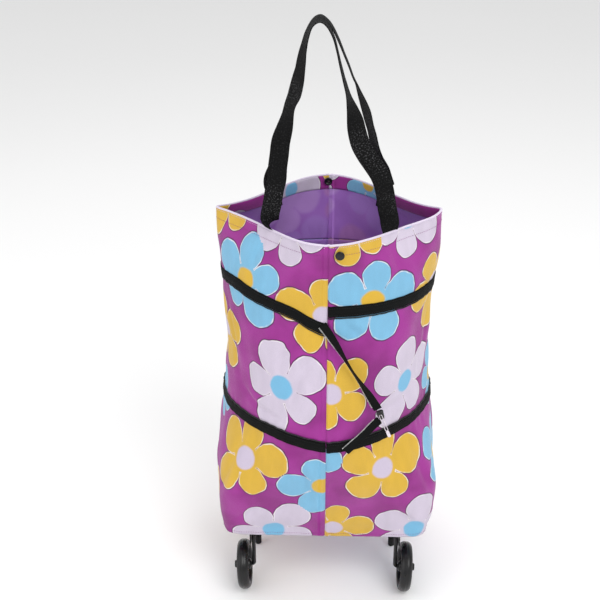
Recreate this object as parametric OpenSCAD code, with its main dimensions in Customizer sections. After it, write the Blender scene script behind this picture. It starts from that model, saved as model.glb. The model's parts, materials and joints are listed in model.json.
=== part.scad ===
// Two-wheeled shopping trolley bag with a zip-away middle section.
// Origin on the floor under the middle of the bag, +Z up, front towards -Y, millimetres.

/* [Bag heights] */
// Height of the bag's underside over the floor
base_z = 100; // [96:1:110]
// Height of the lower zip
lower_zip_z = 291; // [280:1:300]
// Height of the upper zip
upper_zip_z = 485; // [470:1:500]
// Height of the rim
rim_z = 586; // [575:1:600]

/* [Bag widths] */
// Half width of the base
base_half_w = 153; // [148:1:156]
// Half depth of the base
base_half_d = 109; // [105:1:115]
// Half width of the belly
belly_half_w = 157; // [154:1:160]
// Half depth at the lower zip
lower_zip_half_d = 158; // [154:1:162]
// Half depth at the upper zip
upper_zip_half_d = 124; // [120:1:130]
// Half width of the rim
rim_half_w = 157; // [154:1:160]
// Half depth of the rim
rim_half_d = 135; // [130:1:138]

/* [Cloth] */
// Thickness of the bag's lined cloth
cloth_t = 2; // [1.6:0.2:2.4]
// Height of a zip tape
tape_h = 16; // [14:1:18]
// Height of the facing inside the rim
facing_h = 20; // [18:1:24]

/* [Handles] */
// Width of the webbing
webbing_w = 25; // [23:1:25]
// Thickness of the webbing
webbing_t = 1.8; // [1.4:0.2:2]
// Angle round the bag from the front or back seam to a strap
strap_turn = 31.5; // [30:0.5:33]

/* [Wheels] */
// Radius of a wheel over the tyre
wheel_r = 37.5; // [36:0.5:38]
// Width of a tyre
wheel_w = 20; // [18:1:21]
// Distance from the middle to a wheel's centre
wheel_x = 122; // [121:0.5:124]
// Distance of the axles in front of the middle
wheel_y = 98; // [94:1:100]
// Outward lean of a wheel
camber = 3.5; // [2:0.5:5]

/* [Legs] */
// Radius of the wire
wire_r = 3; // [2.8:0.1:3.2]
// Distance from the middle to a leg
leg_x = 107.5; // [107:0.5:108]
// Height of the wire's rail, which is the fold axis
rail_z = 92; // [91:0.5:92]
// Radius of the bend at the axle
axle_bend_r = 4; // [3.8:0.1:4.2]
// Radius of the other bends
wire_bend_r = 9; // [8:1:10]

/* [Hidden] */
$fn = 64;

PRINT = [0.61, 0.18, 0.55];
LILAC = [0.85, 0.82, 0.9];
BLACK = [0.09, 0.09, 0.1];
STEEL = [0.7, 0.7, 0.72];

// Bag profile: height, half width, half depth, roundness exponent, share of the lens outline.
PROFILE_STEPS = [
    [base_z, base_half_w, base_half_d, 12, 0],
    [140, belly_half_w + 4, 120, 8, 0],
    [200, belly_half_w + 6, 138, 4.2, 0],
    [245, belly_half_w + 2, 150, 2.6, 0],
    [lower_zip_z, belly_half_w - 2, lower_zip_half_d, 1.75, 0],
    [390, 146, 143, 1.9, 0],
    [upper_zip_z, 150, upper_zip_half_d, 1.95, 0],
    [545, rim_half_w, 130, 1.9, 0.5],
    [rim_z, rim_half_w, rim_half_d, 1.9, 1]
];
// Share of a plain ellipse in the lens outline of the mouth; the front is fuller on the right.
FRONT_FULLNESS = 0.38;
FRONT_SKEW = 0.18;
BACK_FULLNESS = 0.08;

// Zip heights over their nominal height, against the share of a turn from the front seam.
UPPER_ZIP_DROOP = [[0, 0], [0.5, 0], [0.75, 8], [0.84, 14], [0.88, 8], [0.94, -3], [1, -24]];
LOWER_ZIP_DROOP = [[0, 0], [0.12, 6], [0.25, 9], [0.5, 0], [0.75, 9], [0.9, 9], [1, 1]];

ring_count = 48;
seam_half = 0.4;
panel_t = 1.5;
board_t = 3;
joint_gap = 0.3;
tape_gap = 1.3;
tape_t = 1.2;
coil_h = 3;
coil_t = 2.2;
facing_t = 1;
layer_gap = 0.2;
facing_gap = 0.5;
tail_h = 36;
binding_h = 2;

// Front snap sits beside the seam, the back one on it.
front_snap = [15, -133, 571];
back_snap = [-1, 133, 577];
snap_r = 6;
post_r = 1.5;
post_l = 10;
ring_h = 2.6;

// Slider of the zip, parked where the two free tapes meet.
slider_at = [74, -148, 341];
pull_tilt = -22;
pull_l = 36;
pull_w = 6;
pull_pin_r = 1.5;
pull_pin_y = -5;

running_gap = 0.05;
plate_t = 1.9;
plate_w = 26;
plate_front = -100;
plate_back = 14;
rivet_r = 2;
rivet_gap = 0.1;
rivet_head_r = 4;
foot_y = 0;
bend_lap = 0.25;
bend_swell = 0.02;
stop_drop = 12;
foot_cap_r = 5;
tyre_r = 31;
tyre_round = 5;
hub_r = 8;

// The tyre's rounded shoulder just meets the floor.
wheel_z = (wheel_r - tyre_round) * cos(camber) + (wheel_w / 2 - tyre_round) * sin(camber) + tyre_round;
axle_dir = [cos(camber), 0, -sin(camber)];
axle_start_z = wheel_z + (wheel_x - leg_x) * tan(camber);
axle_end = 13;

// Right half of each strap and then its left half: place and the webbing's turn about +Z.
FRONT_STRAP_PATH = [
    [80, -82, 600, -2], [80, -82, 604, -1], [76, -82, 617, 8], [72, -79, 640, 12],
    [66, -76, 658, 8], [57, -73, 672, 2], [47, -71, 686, 2], [40, -66, 697, 5], [35, -60, 712, 15],
    [32, -54, 726, 32], [28, -49, 740, 58], [23, -43, 755, 80], [17, -36, 774, 86],
    [12, -30, 792, 88], [8, -24, 808, 90], [3, -18, 824, 90], [-5, -14, 838, 90],
    [-14, -13, 844, 90], [-24, -14, 838, 93], [-31, -19, 823, 101], [-35, -25, 808, 110],
    [-37, -29, 795, 117], [-39, -33, 781, 121], [-42, -38, 767, 128], [-46, -43, 754, 132],
    [-51, -48, 743, 124], [-54, -52, 731, 128], [-58, -58, 716, 150], [-63, -64, 700, 172],
    [-65, -70, 684, 178], [-67, -74, 669, 178], [-68, -77, 653, 176], [-71, -79, 640, 172],
    [-74, -79, 622, 172], [-78, -76, 604, 177], [-78, -76, 600, 178]
];
BACK_STRAP_PATH = [
    [81, 61, 600, 0], [81, 61, 604, -4], [76, 64, 621, -34], [69, 64, 639, -52],
    [64, 60, 657, -60], [60, 56, 675, -62], [55, 52, 692, -62], [50, 46, 712, -60],
    [44, 41, 730, -68], [38, 36, 746, -80], [31, 31, 761, -86], [25, 26, 778, -88],
    [19, 22, 793, -88], [12, 18, 811, -90], [3, 15, 830, -90], [-5, 14, 840, -90],
    [-14, 13, 845, -90], [-24, 14, 840, -92], [-32, 17, 826, -98], [-36, 21, 810, -104],
    [-39, 26, 794, -108], [-42, 31, 778, -112], [-46, 36, 762, -116], [-50, 41, 745, -118],
    [-54, 46, 728, -118], [-59, 51, 708, -118], [-63, 56, 688, -118], [-68, 60, 666, -120],
    [-73, 64, 642, -126], [-78, 64, 621, -146], [-82, 61, 604, -176], [-82, 61, 600, -180]
];
// Free ends of the two zip tapes, running together at the slider.
UPPER_TAPE_PATH = [
    [2, -134, 459], [12, -140, 443], [23, -144, 425], [34, -147, 407],
    [46, -148, 389], [58, -148, 370], [68, -148, 354]
];
LOWER_TAPE_PATH = [
    [32, -158.5, 293], [39, -158, 300], [47, -157, 308], [55, -155, 316],
    [63, -152, 324], [71, -149, 331]
];
UPPER_TAPE_SIDE = [0.5, 0.6, 0.4];
LOWER_TAPE_SIDE = [0.82, 0, -0.57];
free_tape_w = 13;

RING_TURNS = [for (i = [0 : ring_count - 1])
    270 + seam_half + i * (360 - 2 * seam_half) / (ring_count - 1)];

// --- shape of the bag ---

function signed_power(v, e) = sign(v) * pow(abs(v), e);
function profile(z, column) = lookup(z, [for (s = PROFILE_STEPS) [s[0], s[column]]]);
function share_of_turn(turn) = (turn - 270) / 360;
function upper_zip(turn) = upper_zip_z + lookup(share_of_turn(turn), UPPER_ZIP_DROOP);
function lower_zip(turn) = lower_zip_z + lookup(share_of_turn(turn), LOWER_ZIP_DROOP);

// Depth share of the lens-shaped mouth, which runs out flat at the two side corners.
function lens(turn) =
    let (fullness = sin(turn) < 0 ? FRONT_FULLNESS + FRONT_SKEW * cos(turn) : BACK_FULLNESS)
    sign(sin(turn)) * ((1 - fullness) * (0.5 + 0.5 * cos(180 * cos(turn)))
        + fullness * abs(sin(turn)));

// Point of the bag's surface, moved outwards by out.
function skin(turn, z, out) =
    let (w = profile(z, 1) + out, d = profile(z, 2) + out,
         e = 2 / profile(z, 3), k = profile(z, 4))
    [w * ((1 - k) * signed_power(cos(turn), e) + k * cos(turn)),
     d * ((1 - k) * signed_power(sin(turn), e) + k * lens(turn)),
     z];

function corner_faces(a, b, c, d) = [[a, b, c], [a, c, d]];

// Closed sheet between two offsets of the bag's surface; low and high give its edges per turn.
module sheet(turns, low, high, levels, out_outer, out_inner, closed = true) {
    n = len(turns);
    layer = n * (levels + 1);
    points = [for (out = [out_outer, out_inner], j = [0 : levels], i = [0 : n - 1])
        skin(turns[i], low[i] + (high[i] - low[i]) * j / levels, out)];
    last = closed ? n - 1 : n - 2;
    sides = [for (i = [0 : last], j = [0 : levels - 1])
        let (k = (i + 1) % n, a = j * n + i, b = j * n + k, c = a + n, d = b + n)
        each concat(corner_faces(a, c, d, b),
            corner_faces(layer + a, layer + b, layer + d, layer + c))];
    edges = [for (i = [0 : last])
        let (k = (i + 1) % n, top = levels * n)
        each concat(corner_faces(i, k, layer + k, layer + i),
            corner_faces(top + i, layer + top + i, layer + top + k, top + k))];
    ends = closed ? [] : [for (j = [0 : levels - 1])
        let (a = j * n, c = a + n, b = a + n - 1, d = c + n - 1)
        each concat(corner_faces(a, layer + a, layer + c, c),
            corner_faces(b, d, layer + d, layer + b))];
    polyhedron(points, concat(sides, edges, ends), convexity = 8);
}

function level_list(turns, z) = [for (t = turns) z];

// --- ribbons and bent wire ---

function unit(v) = v / norm(v);
function tangent(path, i) =
    unit(path[min(i + 1, len(path) - 1)] - path[max(i - 1, 0)]);

// Flat ribbon along a path; side gives the width direction at each point.
module ribbon(path, side, width, thick) {
    n = len(path);
    points = [for (i = [0 : n - 1])
        let (t = tangent(path, i), w = unit(side[i] - t * (side[i] * t)), u = cross(t, w))
        each [path[i] + w * width / 2 + u * thick / 2, path[i] - w * width / 2 + u * thick / 2,
            path[i] - w * width / 2 - u * thick / 2, path[i] + w * width / 2 - u * thick / 2]];
    sides = [for (i = [0 : n - 2], j = [0 : 3])
        let (k = (j + 1) % 4, a = 4 * i)
        each j == 2 ? corner_faces(a + 4 + j, a + 4 + k, a + k, a + j)
            : corner_faces(a + j, a + 4 + j, a + 4 + k, a + k)];
    caps = concat(corner_faces(0, 1, 2, 3),
        corner_faces(4 * n - 1, 4 * n - 2, 4 * n - 3, 4 * n - 4));
    polyhedron(points, concat(sides, caps), convexity = 8);
}

function places(path) = [for (p = path) [p[0], p[1], p[2]]];
function turned_sides(path) = [for (p = path) [cos(p[3]), sin(p[3]), 0]];

// Straight run of wire from a to b.
module rod(a, b, r) {
    z = unit(b - a);
    x = unit(cross(abs(z[2]) > 0.9 ? [0, 1, 0] : [0, 0, 1], z));
    y = cross(z, x);
    multmatrix([[x[0], y[0], z[0], a[0]], [x[1], y[1], z[1], a[1]], [x[2], y[2], z[2], a[2]]])
        cylinder(r = r, h = norm(b - a));
}

// Round bend of wire at corner p, between the directions u and v.
module bend(p, u, v, bend_r, r) {
    angle = acos(u * v);
    centre = p + (v - u) * bend_r * tan(angle / 2) / norm(v - u)
        / sin(angle / 2);
    x = unit(p - u * bend_r * tan(angle / 2) - centre);
    y = u;
    z = cross(x, y);
    multmatrix([[x[0], y[0], z[0], centre[0]], [x[1], y[1], z[1], centre[1]],
                [x[2], y[2], z[2], centre[2]]])
        rotate_extrude(angle = angle) translate([bend_r, 0]) circle(r = r);
}

// Wire along corners, with a bend radius at each inner one. The straight runs reach a little
// into the bends, which are as much thicker as that needs.
module wire(corners, bend_rs, r) {
    n = len(corners);
    dirs = [for (i = [0 : n - 2]) unit(corners[i + 1] - corners[i])];
    cut = concat([0], [for (i = [1 : n - 2])
        bend_rs[i - 1] * tan(acos(dirs[i - 1] * dirs[i]) / 2)], [0]);
    for (i = [0 : n - 2])
        rod(corners[i] + dirs[i] * (cut[i] - (i > 0 ? bend_lap : 0)),
            corners[i + 1] - dirs[i] * (cut[i + 1] - (i < n - 2 ? bend_lap : 0)), r);
    for (i = [1 : n - 2])
        bend(corners[i], dirs[i - 1], dirs[i], bend_rs[i - 1], r + bend_swell);
}

// --- base ---

function rivet_places() = [for (side = [-1, 1], dx = [-9, 9], y = [-88, 7])
    [side * (leg_x + dx), y]];

module rivet_holes(z, h) {
    for (p = rivet_places())
        translate([p[0], p[1], z - 1]) cylinder(r = rivet_r + rivet_gap, h = h + 2);
}

module base_outline(inset) {
    polygon([for (t = RING_TURNS) let (p = skin(t, base_z, -inset)) [p[0], p[1]]]);
}

module base_panel() {
    color(PRINT) difference() {
        translate([0, 0, base_z]) linear_extrude(panel_t) base_outline(0);
        rivet_holes(base_z, panel_t);
    }
}

module base_board() {
    z = base_z + panel_t + layer_gap;
    color(BLACK) difference() {
        translate([0, 0, z]) linear_extrude(board_t) base_outline(cloth_t + 4);
        rivet_holes(z, board_t);
    }
}

module base_rivets() {
    top = base_z + panel_t + layer_gap + board_t;
    head_h = 1.8;
    color(STEEL) for (p = rivet_places()) translate([p[0], p[1], 0]) {
        translate([0, 0, base_z - plate_t - layer_gap - head_h])
            cylinder(r1 = rivet_head_r - 1, r2 = rivet_head_r, h = head_h);
        translate([0, 0, base_z - plate_t - layer_gap - 0.1])
            cylinder(r = rivet_r, h = top - base_z + plate_t + layer_gap + 0.2);
        translate([0, 0, top]) cylinder(r1 = rivet_head_r, r2 = rivet_head_r - 1, h = head_h);
    }
}

// --- bag sections and zips ---

module lower_section() {
    low = level_list(RING_TURNS, base_z + panel_t + layer_gap);
    high = [for (t = RING_TURNS) lower_zip(t) - joint_gap];
    color(PRINT) sheet(RING_TURNS, low, high, 16, 0, -cloth_t);
}

module middle_section() {
    low = [for (t = RING_TURNS) lower_zip(t) + joint_gap];
    high = [for (t = RING_TURNS) upper_zip(t) - joint_gap];
    color(PRINT) sheet(RING_TURNS, low, high, 8, 0, -cloth_t);
}

module upper_section() {
    low = [for (t = RING_TURNS) upper_zip(t) + joint_gap];
    high = level_list(RING_TURNS, rim_z - binding_h - layer_gap);
    color(PRINT) sheet(RING_TURNS, low, high, 8, 0, -cloth_t);
}

// Zip tape lying on the cloth, and the coil along its open edge.
module zip_band(heights, below, above, thick, closed) {
    sheet(RING_TURNS, [for (h = heights) h - below], [for (h = heights) h + above], 2,
        tape_gap + thick, tape_gap, closed);
}

module lower_zip_tape() {
    color(BLACK) zip_band([for (t = RING_TURNS) lower_zip(t)], tape_h / 2, tape_h / 2,
        tape_t, true);
}

module lower_zip_coil() {
    edge = tape_h / 2 + layer_gap;
    color(BLACK) zip_band([for (t = RING_TURNS) lower_zip(t)], -edge, edge + coil_h,
        coil_t, true);
}

module upper_zip_tape() {
    color(BLACK) zip_band([for (t = RING_TURNS) upper_zip(t)], tape_h / 2, tape_h / 2,
        tape_t, false);
}

module upper_zip_coil() {
    edge = tape_h / 2 + layer_gap;
    color(BLACK) zip_band([for (t = RING_TURNS) upper_zip(t)], edge + coil_h, -edge,
        coil_t, false);
}

module rim_facing() {
    top = rim_z - binding_h - layer_gap;
    color(PRINT) sheet(RING_TURNS, level_list(RING_TURNS, top - facing_h),
        level_list(RING_TURNS, top), 2, -cloth_t - facing_gap, -cloth_t - facing_gap - facing_t);
}

module rim_binding() {
    color(LILAC) sheet(RING_TURNS, level_list(RING_TURNS, rim_z - binding_h),
        level_list(RING_TURNS, rim_z), 1, 0.4, -cloth_t - facing_gap - facing_t);
}

module lower_free_tape() {
    color(BLACK) ribbon(LOWER_TAPE_PATH, [for (p = LOWER_TAPE_PATH) LOWER_TAPE_SIDE],
        free_tape_w, tape_t);
}

module upper_free_tape() {
    color(BLACK) ribbon(UPPER_TAPE_PATH, [for (p = UPPER_TAPE_PATH) UPPER_TAPE_SIDE],
        free_tape_w, tape_t);
}

// --- handles and snaps ---

// Two webbing tails sewn inside the wall, centred on the turns given, each with a stiff doubled
// root that stands up to the handle's hinge line; ends gives the handle's two lower ends.
module strap_tails(centres, ends) {
    steps = 6;
    spread = 6.2;
    root_gap = 3.5;
    root_lap = 5;
    root_rise = 2.5;
    inner = -cloth_t - facing_gap - facing_t - 3 * layer_gap;
    middle = inner - webbing_t / 2 - 1;
    color(BLACK) for (k = [0, 1]) {
        turns = [for (i = [0 : steps]) centres[k] - spread + 2 * spread * i / steps];
        sheet(turns, level_list(turns, rim_z - tail_h), level_list(turns, rim_z), 4,
            inner, inner - webbing_t, false);
        wall_side = unit(skin(centres[k] + 1, rim_z, middle) - skin(centres[k] - 1, rim_z, middle));
        plain_side = [cos(ends[k][3]), sin(ends[k][3]), 0];
        end_side = plain_side * sign(plain_side * wall_side);
        top_side = wall_side + end_side;
        low = skin(centres[k], rim_z, middle);
        high = [ends[k][0], ends[k][1], ends[k][2] - root_gap];
        ribbon([low - [0, 0, root_lap], low + [0, 0, root_rise], high - [0, 0, root_rise], high],
            [wall_side, wall_side, top_side, top_side], webbing_w, webbing_t);
    }
}

module front_strap_tails() {
    last = FRONT_STRAP_PATH[len(FRONT_STRAP_PATH) - 1];
    strap_tails([270 + strap_turn, 630 - strap_turn], [FRONT_STRAP_PATH[0], last]);
}

module back_strap_tails() {
    last = BACK_STRAP_PATH[len(BACK_STRAP_PATH) - 1];
    strap_tails([450 - strap_turn, 450 + strap_turn], [BACK_STRAP_PATH[0], last]);
}

module front_strap() {
    color(BLACK) ribbon(places(FRONT_STRAP_PATH), turned_sides(FRONT_STRAP_PATH),
        webbing_w, webbing_t);
}

module back_strap() {
    color(BLACK) ribbon(places(BACK_STRAP_PATH), turned_sides(BACK_STRAP_PATH),
        webbing_w, webbing_t);
}

// Snap half facing -Y: a domed cap with its post, or the ring that takes the post.
module snap_cap(at) {
    color(BLACK) translate(at) rotate([90, 0, 0]) {
        cylinder(r = snap_r, h = 1);
        translate([0, 0, 1]) cylinder(r1 = snap_r, r2 = snap_r - 1.5, h = 1);
        translate([0, 0, -post_l]) cylinder(r = post_r, h = post_l + 0.1);
    }
}

module snap_ring(at) {
    color(BLACK) translate(at) rotate([90, 0, 0]) difference() {
        cylinder(r = snap_r, h = ring_h);
        translate([0, 0, -1]) cylinder(r = post_r + running_gap, h = ring_h + 2);
    }
}

module front_snap_cap() { snap_cap(front_snap - [0, 2, 0]); }

module front_snap_socket() { snap_ring(front_snap + [0, 10, 0]); }

module back_snap_cap() {
    mirror([0, 1, 0]) snap_cap([back_snap[0], -back_snap[1] - 2, back_snap[2]]);
}

module back_snap_stud() { snap_ring(back_snap - [0, 6.4, 0]); }

// --- slider ---

module at_slider() {
    translate(slider_at) rotate([0, pull_tilt, 0]) children();
}

module zip_slider() {
    body = [10, 5, 13];
    body_drop = 7;
    ear = [1.6, 4.1, 3];
    pin_over = 0.4;
    color(STEEL) at_slider() {
        translate([-body[0] / 2, -body[1] / 2, -body_drop]) cube(body);
        for (side = [-1, 1])
            translate([side * (pull_w / 2 + joint_gap + ear[0] / 2) - ear[0] / 2,
                    pull_pin_y - pull_pin_r, -ear[2] / 2])
                cube(ear);
        translate([-pull_w / 2 - pin_over, pull_pin_y, 0]) rotate([0, 90, 0])
            cylinder(r = pull_pin_r, h = pull_w + 2 * pin_over);
    }
}

module zip_pull() {
    eye_r = 2.2;
    tab_t = 1.6;
    color(STEEL) at_slider() translate([0, pull_pin_y, 0]) difference() {
        union() {
            rotate([0, 90, 0]) cylinder(r = eye_r, h = pull_w, center = true);
            translate([-pull_w / 2, -tab_t / 2, -pull_l]) cube([pull_w, tab_t, pull_l]);
        }
        rotate([0, 90, 0]) cylinder(r = pull_pin_r + running_gap, h = pull_w + 2, center = true);
    }
}

// --- legs and wheels, drawn for the right side ---

module rail_plate() {
    z = base_z - layer_gap - plate_t;
    color(STEEL) difference() {
        translate([leg_x - plate_w / 2, plate_front, z])
            cube([plate_w, plate_back - plate_front, plate_t]);
        rivet_holes(z, plate_t);
    }
}

module saddles() {
    block_w = 16;
    block_l = 14;
    top = base_z - layer_gap - plate_t;
    bottom = rail_z - wire_r - 2.5;
    stop_t = 2.4;
    color(BLACK) {
        for (y = [-74, -24]) difference() {
            translate([leg_x - block_w / 2, y - block_l / 2, bottom])
                cube([block_w, block_l, top - bottom]);
            translate([leg_x, y, rail_z]) rotate([90, 0, 0])
                cylinder(r = wire_r + running_gap, h = block_l + 2, center = true);
        }
        // Stop that holds the leg upright against an outward push.
        translate([leg_x + wire_r + joint_gap, -wheel_y - 5, rail_z - stop_drop])
            cube([stop_t, 10, top - rail_z + stop_drop]);
    }
}

module leg() {
    foot = [leg_x, foot_y, foot_cap_r];
    color(BLACK) wire(
        [foot, [leg_x, foot_y, rail_z], [leg_x, -wheel_y, rail_z],
         [leg_x, -wheel_y, axle_start_z], [wheel_x, -wheel_y, wheel_z] + axle_dir * axle_end],
        [wire_bend_r, wire_bend_r, axle_bend_r], wire_r);
}

module foot_cap() {
    cap_h = 16;
    color(BLACK) translate([leg_x, foot_y, 0]) difference() {
        union() {
            cylinder(r1 = foot_cap_r - 0.8, r2 = foot_cap_r, h = 1.5);
            translate([0, 0, 1.5]) cylinder(r = foot_cap_r, h = cap_h - 1.5);
        }
        translate([0, 0, foot_cap_r]) cylinder(r = wire_r, h = cap_h);
    }
}

// Frame of the wheel: +Z runs outwards along the axle.
module at_wheel() {
    translate([wheel_x, -wheel_y, wheel_z]) rotate([0, 90 + camber, 0]) children();
}

module axle_washer() {
    color(BLACK) at_wheel() translate([0, 0, -wheel_w / 2 - 0.6]) difference() {
        cylinder(r = 5.5, h = 0.8);
        translate([0, 0, -1]) cylinder(r = wire_r, h = 3);
    }
}

module axle_cap() {
    color(BLACK) at_wheel() translate([0, 0, wheel_w / 2 - 0.2]) difference() {
        union() {
            cylinder(r = 7, h = 1.2);
            translate([0, 0, 1.2]) cylinder(r1 = 6.5, r2 = 5, h = 3.8);
        }
        translate([0, 0, -1]) cylinder(r = wire_r, h = axle_end - wheel_w / 2 + 1.2);
    }
}

module rim() {
    rim_w = wheel_w - 2;
    hub_w = wheel_w - 1;
    rim_t = 3;
    web_t = 4;
    spokes = 5;
    color(BLACK) at_wheel() {
        rotate_extrude() {
            translate([wire_r + running_gap, -hub_w / 2])
                square([hub_r - wire_r - running_gap, hub_w]);
            translate([tyre_r - rim_t, -rim_w / 2]) square([rim_t, rim_w]);
        }
        for (i = [0 : spokes - 1]) rotate(i * 360 / spokes)
            translate([hub_r - 1, -web_t / 2, -rim_w / 2 + 2])
                cube([tyre_r - rim_t - hub_r + 1.5, web_t, rim_w - 4]);
    }
}

module tyre() {
    half = wheel_w / 2;
    round_at = wheel_r - tyre_round;
    color(BLACK) at_wheel() rotate_extrude() {
        translate([tyre_r, -half]) square([round_at - tyre_r, wheel_w]);
        translate([round_at, -half + tyre_round]) square([tyre_round, wheel_w - 2 * tyre_round]);
        intersection() {
            for (side = [-1, 1]) translate([round_at, side * (half - tyre_round)])
                circle(r = tyre_round);
            translate([round_at - 0.01, -half]) square([tyre_round + 1, wheel_w]);
        }
    }
}

module left() { mirror([1, 0, 0]) children(); }

base_panel();
base_board();
lower_section();
lower_zip_tape();
lower_zip_coil();
middle_section();
lower_free_tape();
upper_free_tape();
upper_section();
upper_zip_tape();
upper_zip_coil();
rim_facing();
rim_binding();
front_strap_tails();
back_strap_tails();
front_snap_cap();
front_snap_socket();
back_snap_cap();
back_snap_stud();
front_strap();
back_strap();
zip_slider();
zip_pull();
base_rivets();
left() rail_plate();  // left_rail_plate
left() saddles();  // left_saddles
left() leg();  // left_leg
left() foot_cap();  // left_foot_cap
left() axle_washer();  // left_axle_washer
left() axle_cap();  // left_axle_cap
left() rim();  // left_rim
left() tyre();  // left_tyre
rail_plate();  // right_rail_plate
saddles();  // right_saddles
leg();  // right_leg
foot_cap();  // right_foot_cap
axle_washer();  // right_axle_washer
axle_cap();  // right_axle_cap
rim();  // right_rim
tyre();  // right_tyre
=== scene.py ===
"""Looks of the two-wheeled shopping trolley bag: printed cloth, zips, webbing handles and wheels."""
import json
import math

import bmesh
import bpy
import numpy as np
from mathutils import Matrix, Vector


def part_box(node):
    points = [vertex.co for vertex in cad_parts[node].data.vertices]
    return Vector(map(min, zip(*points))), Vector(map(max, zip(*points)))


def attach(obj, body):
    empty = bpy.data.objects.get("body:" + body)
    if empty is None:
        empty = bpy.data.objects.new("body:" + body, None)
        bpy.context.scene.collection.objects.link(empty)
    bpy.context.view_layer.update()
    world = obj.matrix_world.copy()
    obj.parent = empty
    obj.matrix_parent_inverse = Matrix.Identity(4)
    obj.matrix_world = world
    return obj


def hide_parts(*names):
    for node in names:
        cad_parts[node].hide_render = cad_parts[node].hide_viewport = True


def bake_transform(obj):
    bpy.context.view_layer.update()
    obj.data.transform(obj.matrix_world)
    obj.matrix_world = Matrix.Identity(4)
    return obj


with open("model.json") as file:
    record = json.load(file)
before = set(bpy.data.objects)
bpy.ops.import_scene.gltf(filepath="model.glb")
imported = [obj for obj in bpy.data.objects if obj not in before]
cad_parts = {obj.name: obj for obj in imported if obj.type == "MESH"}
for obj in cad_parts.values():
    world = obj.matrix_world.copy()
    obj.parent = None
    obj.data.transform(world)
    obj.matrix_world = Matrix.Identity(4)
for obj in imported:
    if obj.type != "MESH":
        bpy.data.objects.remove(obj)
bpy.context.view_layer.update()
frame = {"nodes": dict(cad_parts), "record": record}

MM = 0.001

# --- sizes, in millimetres unless a name says otherwise ---

# Bag profile: height, half width, half depth, roundness exponent, share of the lens outline.
PROFILE = np.array([
    (100, 153, 109, 12, 0), (140, 161, 120, 8, 0), (200, 163, 138, 4.2, 0),
    (245, 159, 150, 2.6, 0), (291, 155, 158, 1.75, 0), (390, 146, 143, 1.9, 0), (485, 150, 124, 1.95, 0),
    (545, 157, 130, 1.9, 0.5), (586, 157, 135, 1.9, 1)], float)
FRONT_FULLNESS = 0.38
FRONT_SKEW = 0.18
BACK_FULLNESS = 0.08
BASE_Z, LOWER_ZIP_Z, UPPER_ZIP_Z, RIM_Z = 100, 291, 485, 586
# Zip heights over their nominal height, against the share of a turn from the front seam.
UPPER_ZIP_DROOP = [(0, 0), (0.5, 0), (0.75, 8), (0.84, 14), (0.88, 8), (0.94, -3), (1, -24)]
LOWER_ZIP_DROOP = [(0, 0), (0.12, 6), (0.25, 9), (0.5, 0), (0.75, 9), (0.9, 9), (1, 1)]

CLOTH_T = 2
FACING_T = 1
FACING_H = 20
LAYER_GAP = 0.2
TAPE_H = 16
WEBBING_W = 25
WEBBING_T = 1.8
STRAP_TURN = 31.5
TAIL_H = 36
WHEEL_R = 37.5
WHEEL_W = 20
TREAD_W = 17.4
CAMBER = math.radians(3.5)
SLIDER_AT = (74, -148, 341)
PULL_TILT = math.radians(-22)

# Right half of each strap and then its left half: place and the webbing's turn about +Z.
FRONT_STRAP_PATH = [
    (80, -82, 600, -2), (76, -82, 617, 8), (72, -79, 640, 12),
    (66, -76, 658, 8), (57, -73, 672, 2), (47, -71, 686, 2), (40, -66, 697, 5), (35, -60, 712, 15),
    (32, -54, 726, 32), (28, -49, 740, 58), (23, -43, 755, 80), (17, -36, 774, 86),
    (12, -30, 792, 88), (8, -24, 808, 90), (3, -18, 824, 90), (-5, -14, 838, 90),
    (-14, -13, 844, 90), (-24, -14, 838, 93), (-31, -19, 823, 101), (-35, -25, 808, 110),
    (-37, -29, 795, 117), (-39, -33, 781, 121), (-42, -38, 767, 128), (-46, -43, 754, 132),
    (-51, -48, 743, 124), (-54, -52, 731, 128), (-58, -58, 716, 150), (-63, -64, 700, 172),
    (-65, -70, 684, 178), (-67, -74, 669, 178), (-68, -77, 653, 176), (-71, -79, 640, 172),
    (-74, -79, 622, 172), (-78, -76, 600, 178)]
BACK_STRAP_PATH = [
    (81, 61, 600, -14), (76, 64, 621, -38), (69, 64, 639, -52),
    (64, 60, 657, -60), (60, 56, 675, -62), (55, 52, 692, -62), (50, 46, 712, -60),
    (44, 41, 730, -68), (38, 36, 746, -80), (31, 31, 761, -86), (25, 26, 778, -88),
    (19, 22, 793, -88), (12, 18, 811, -90), (3, 15, 830, -90), (-5, 14, 840, -90),
    (-14, 13, 845, -90), (-24, 14, 840, -92), (-32, 17, 826, -98), (-36, 21, 810, -104),
    (-39, 26, 794, -108), (-42, 31, 778, -112), (-46, 36, 762, -116), (-50, 41, 745, -118),
    (-54, 46, 728, -118), (-59, 51, 708, -118), (-63, 56, 688, -118), (-68, 60, 666, -120),
    (-73, 64, 642, -126), (-78, 64, 621, -142), (-82, 61, 600, -166)]
# Free ends of the zip tapes: place and roll about their own line.
UPPER_TAPE_PATH = [
    (-7, -128, 467, 0), (2, -134.5, 457, 10), (12, -140, 443, 30), (23, -144, 425, 55), (34, -147, 407, 62),
    (46, -148, 389, 50), (58, -148, 370, 20), (70, -148, 349, 0)]
LOWER_TAPE_PATH = [
    (27, -159.2, 287, 0), (39, -158.5, 300, 4), (47, -157, 308, 8), (55, -155, 316, 8),
    (63, -152, 324, 4), (73, -148.5, 333, 0)]

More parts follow.
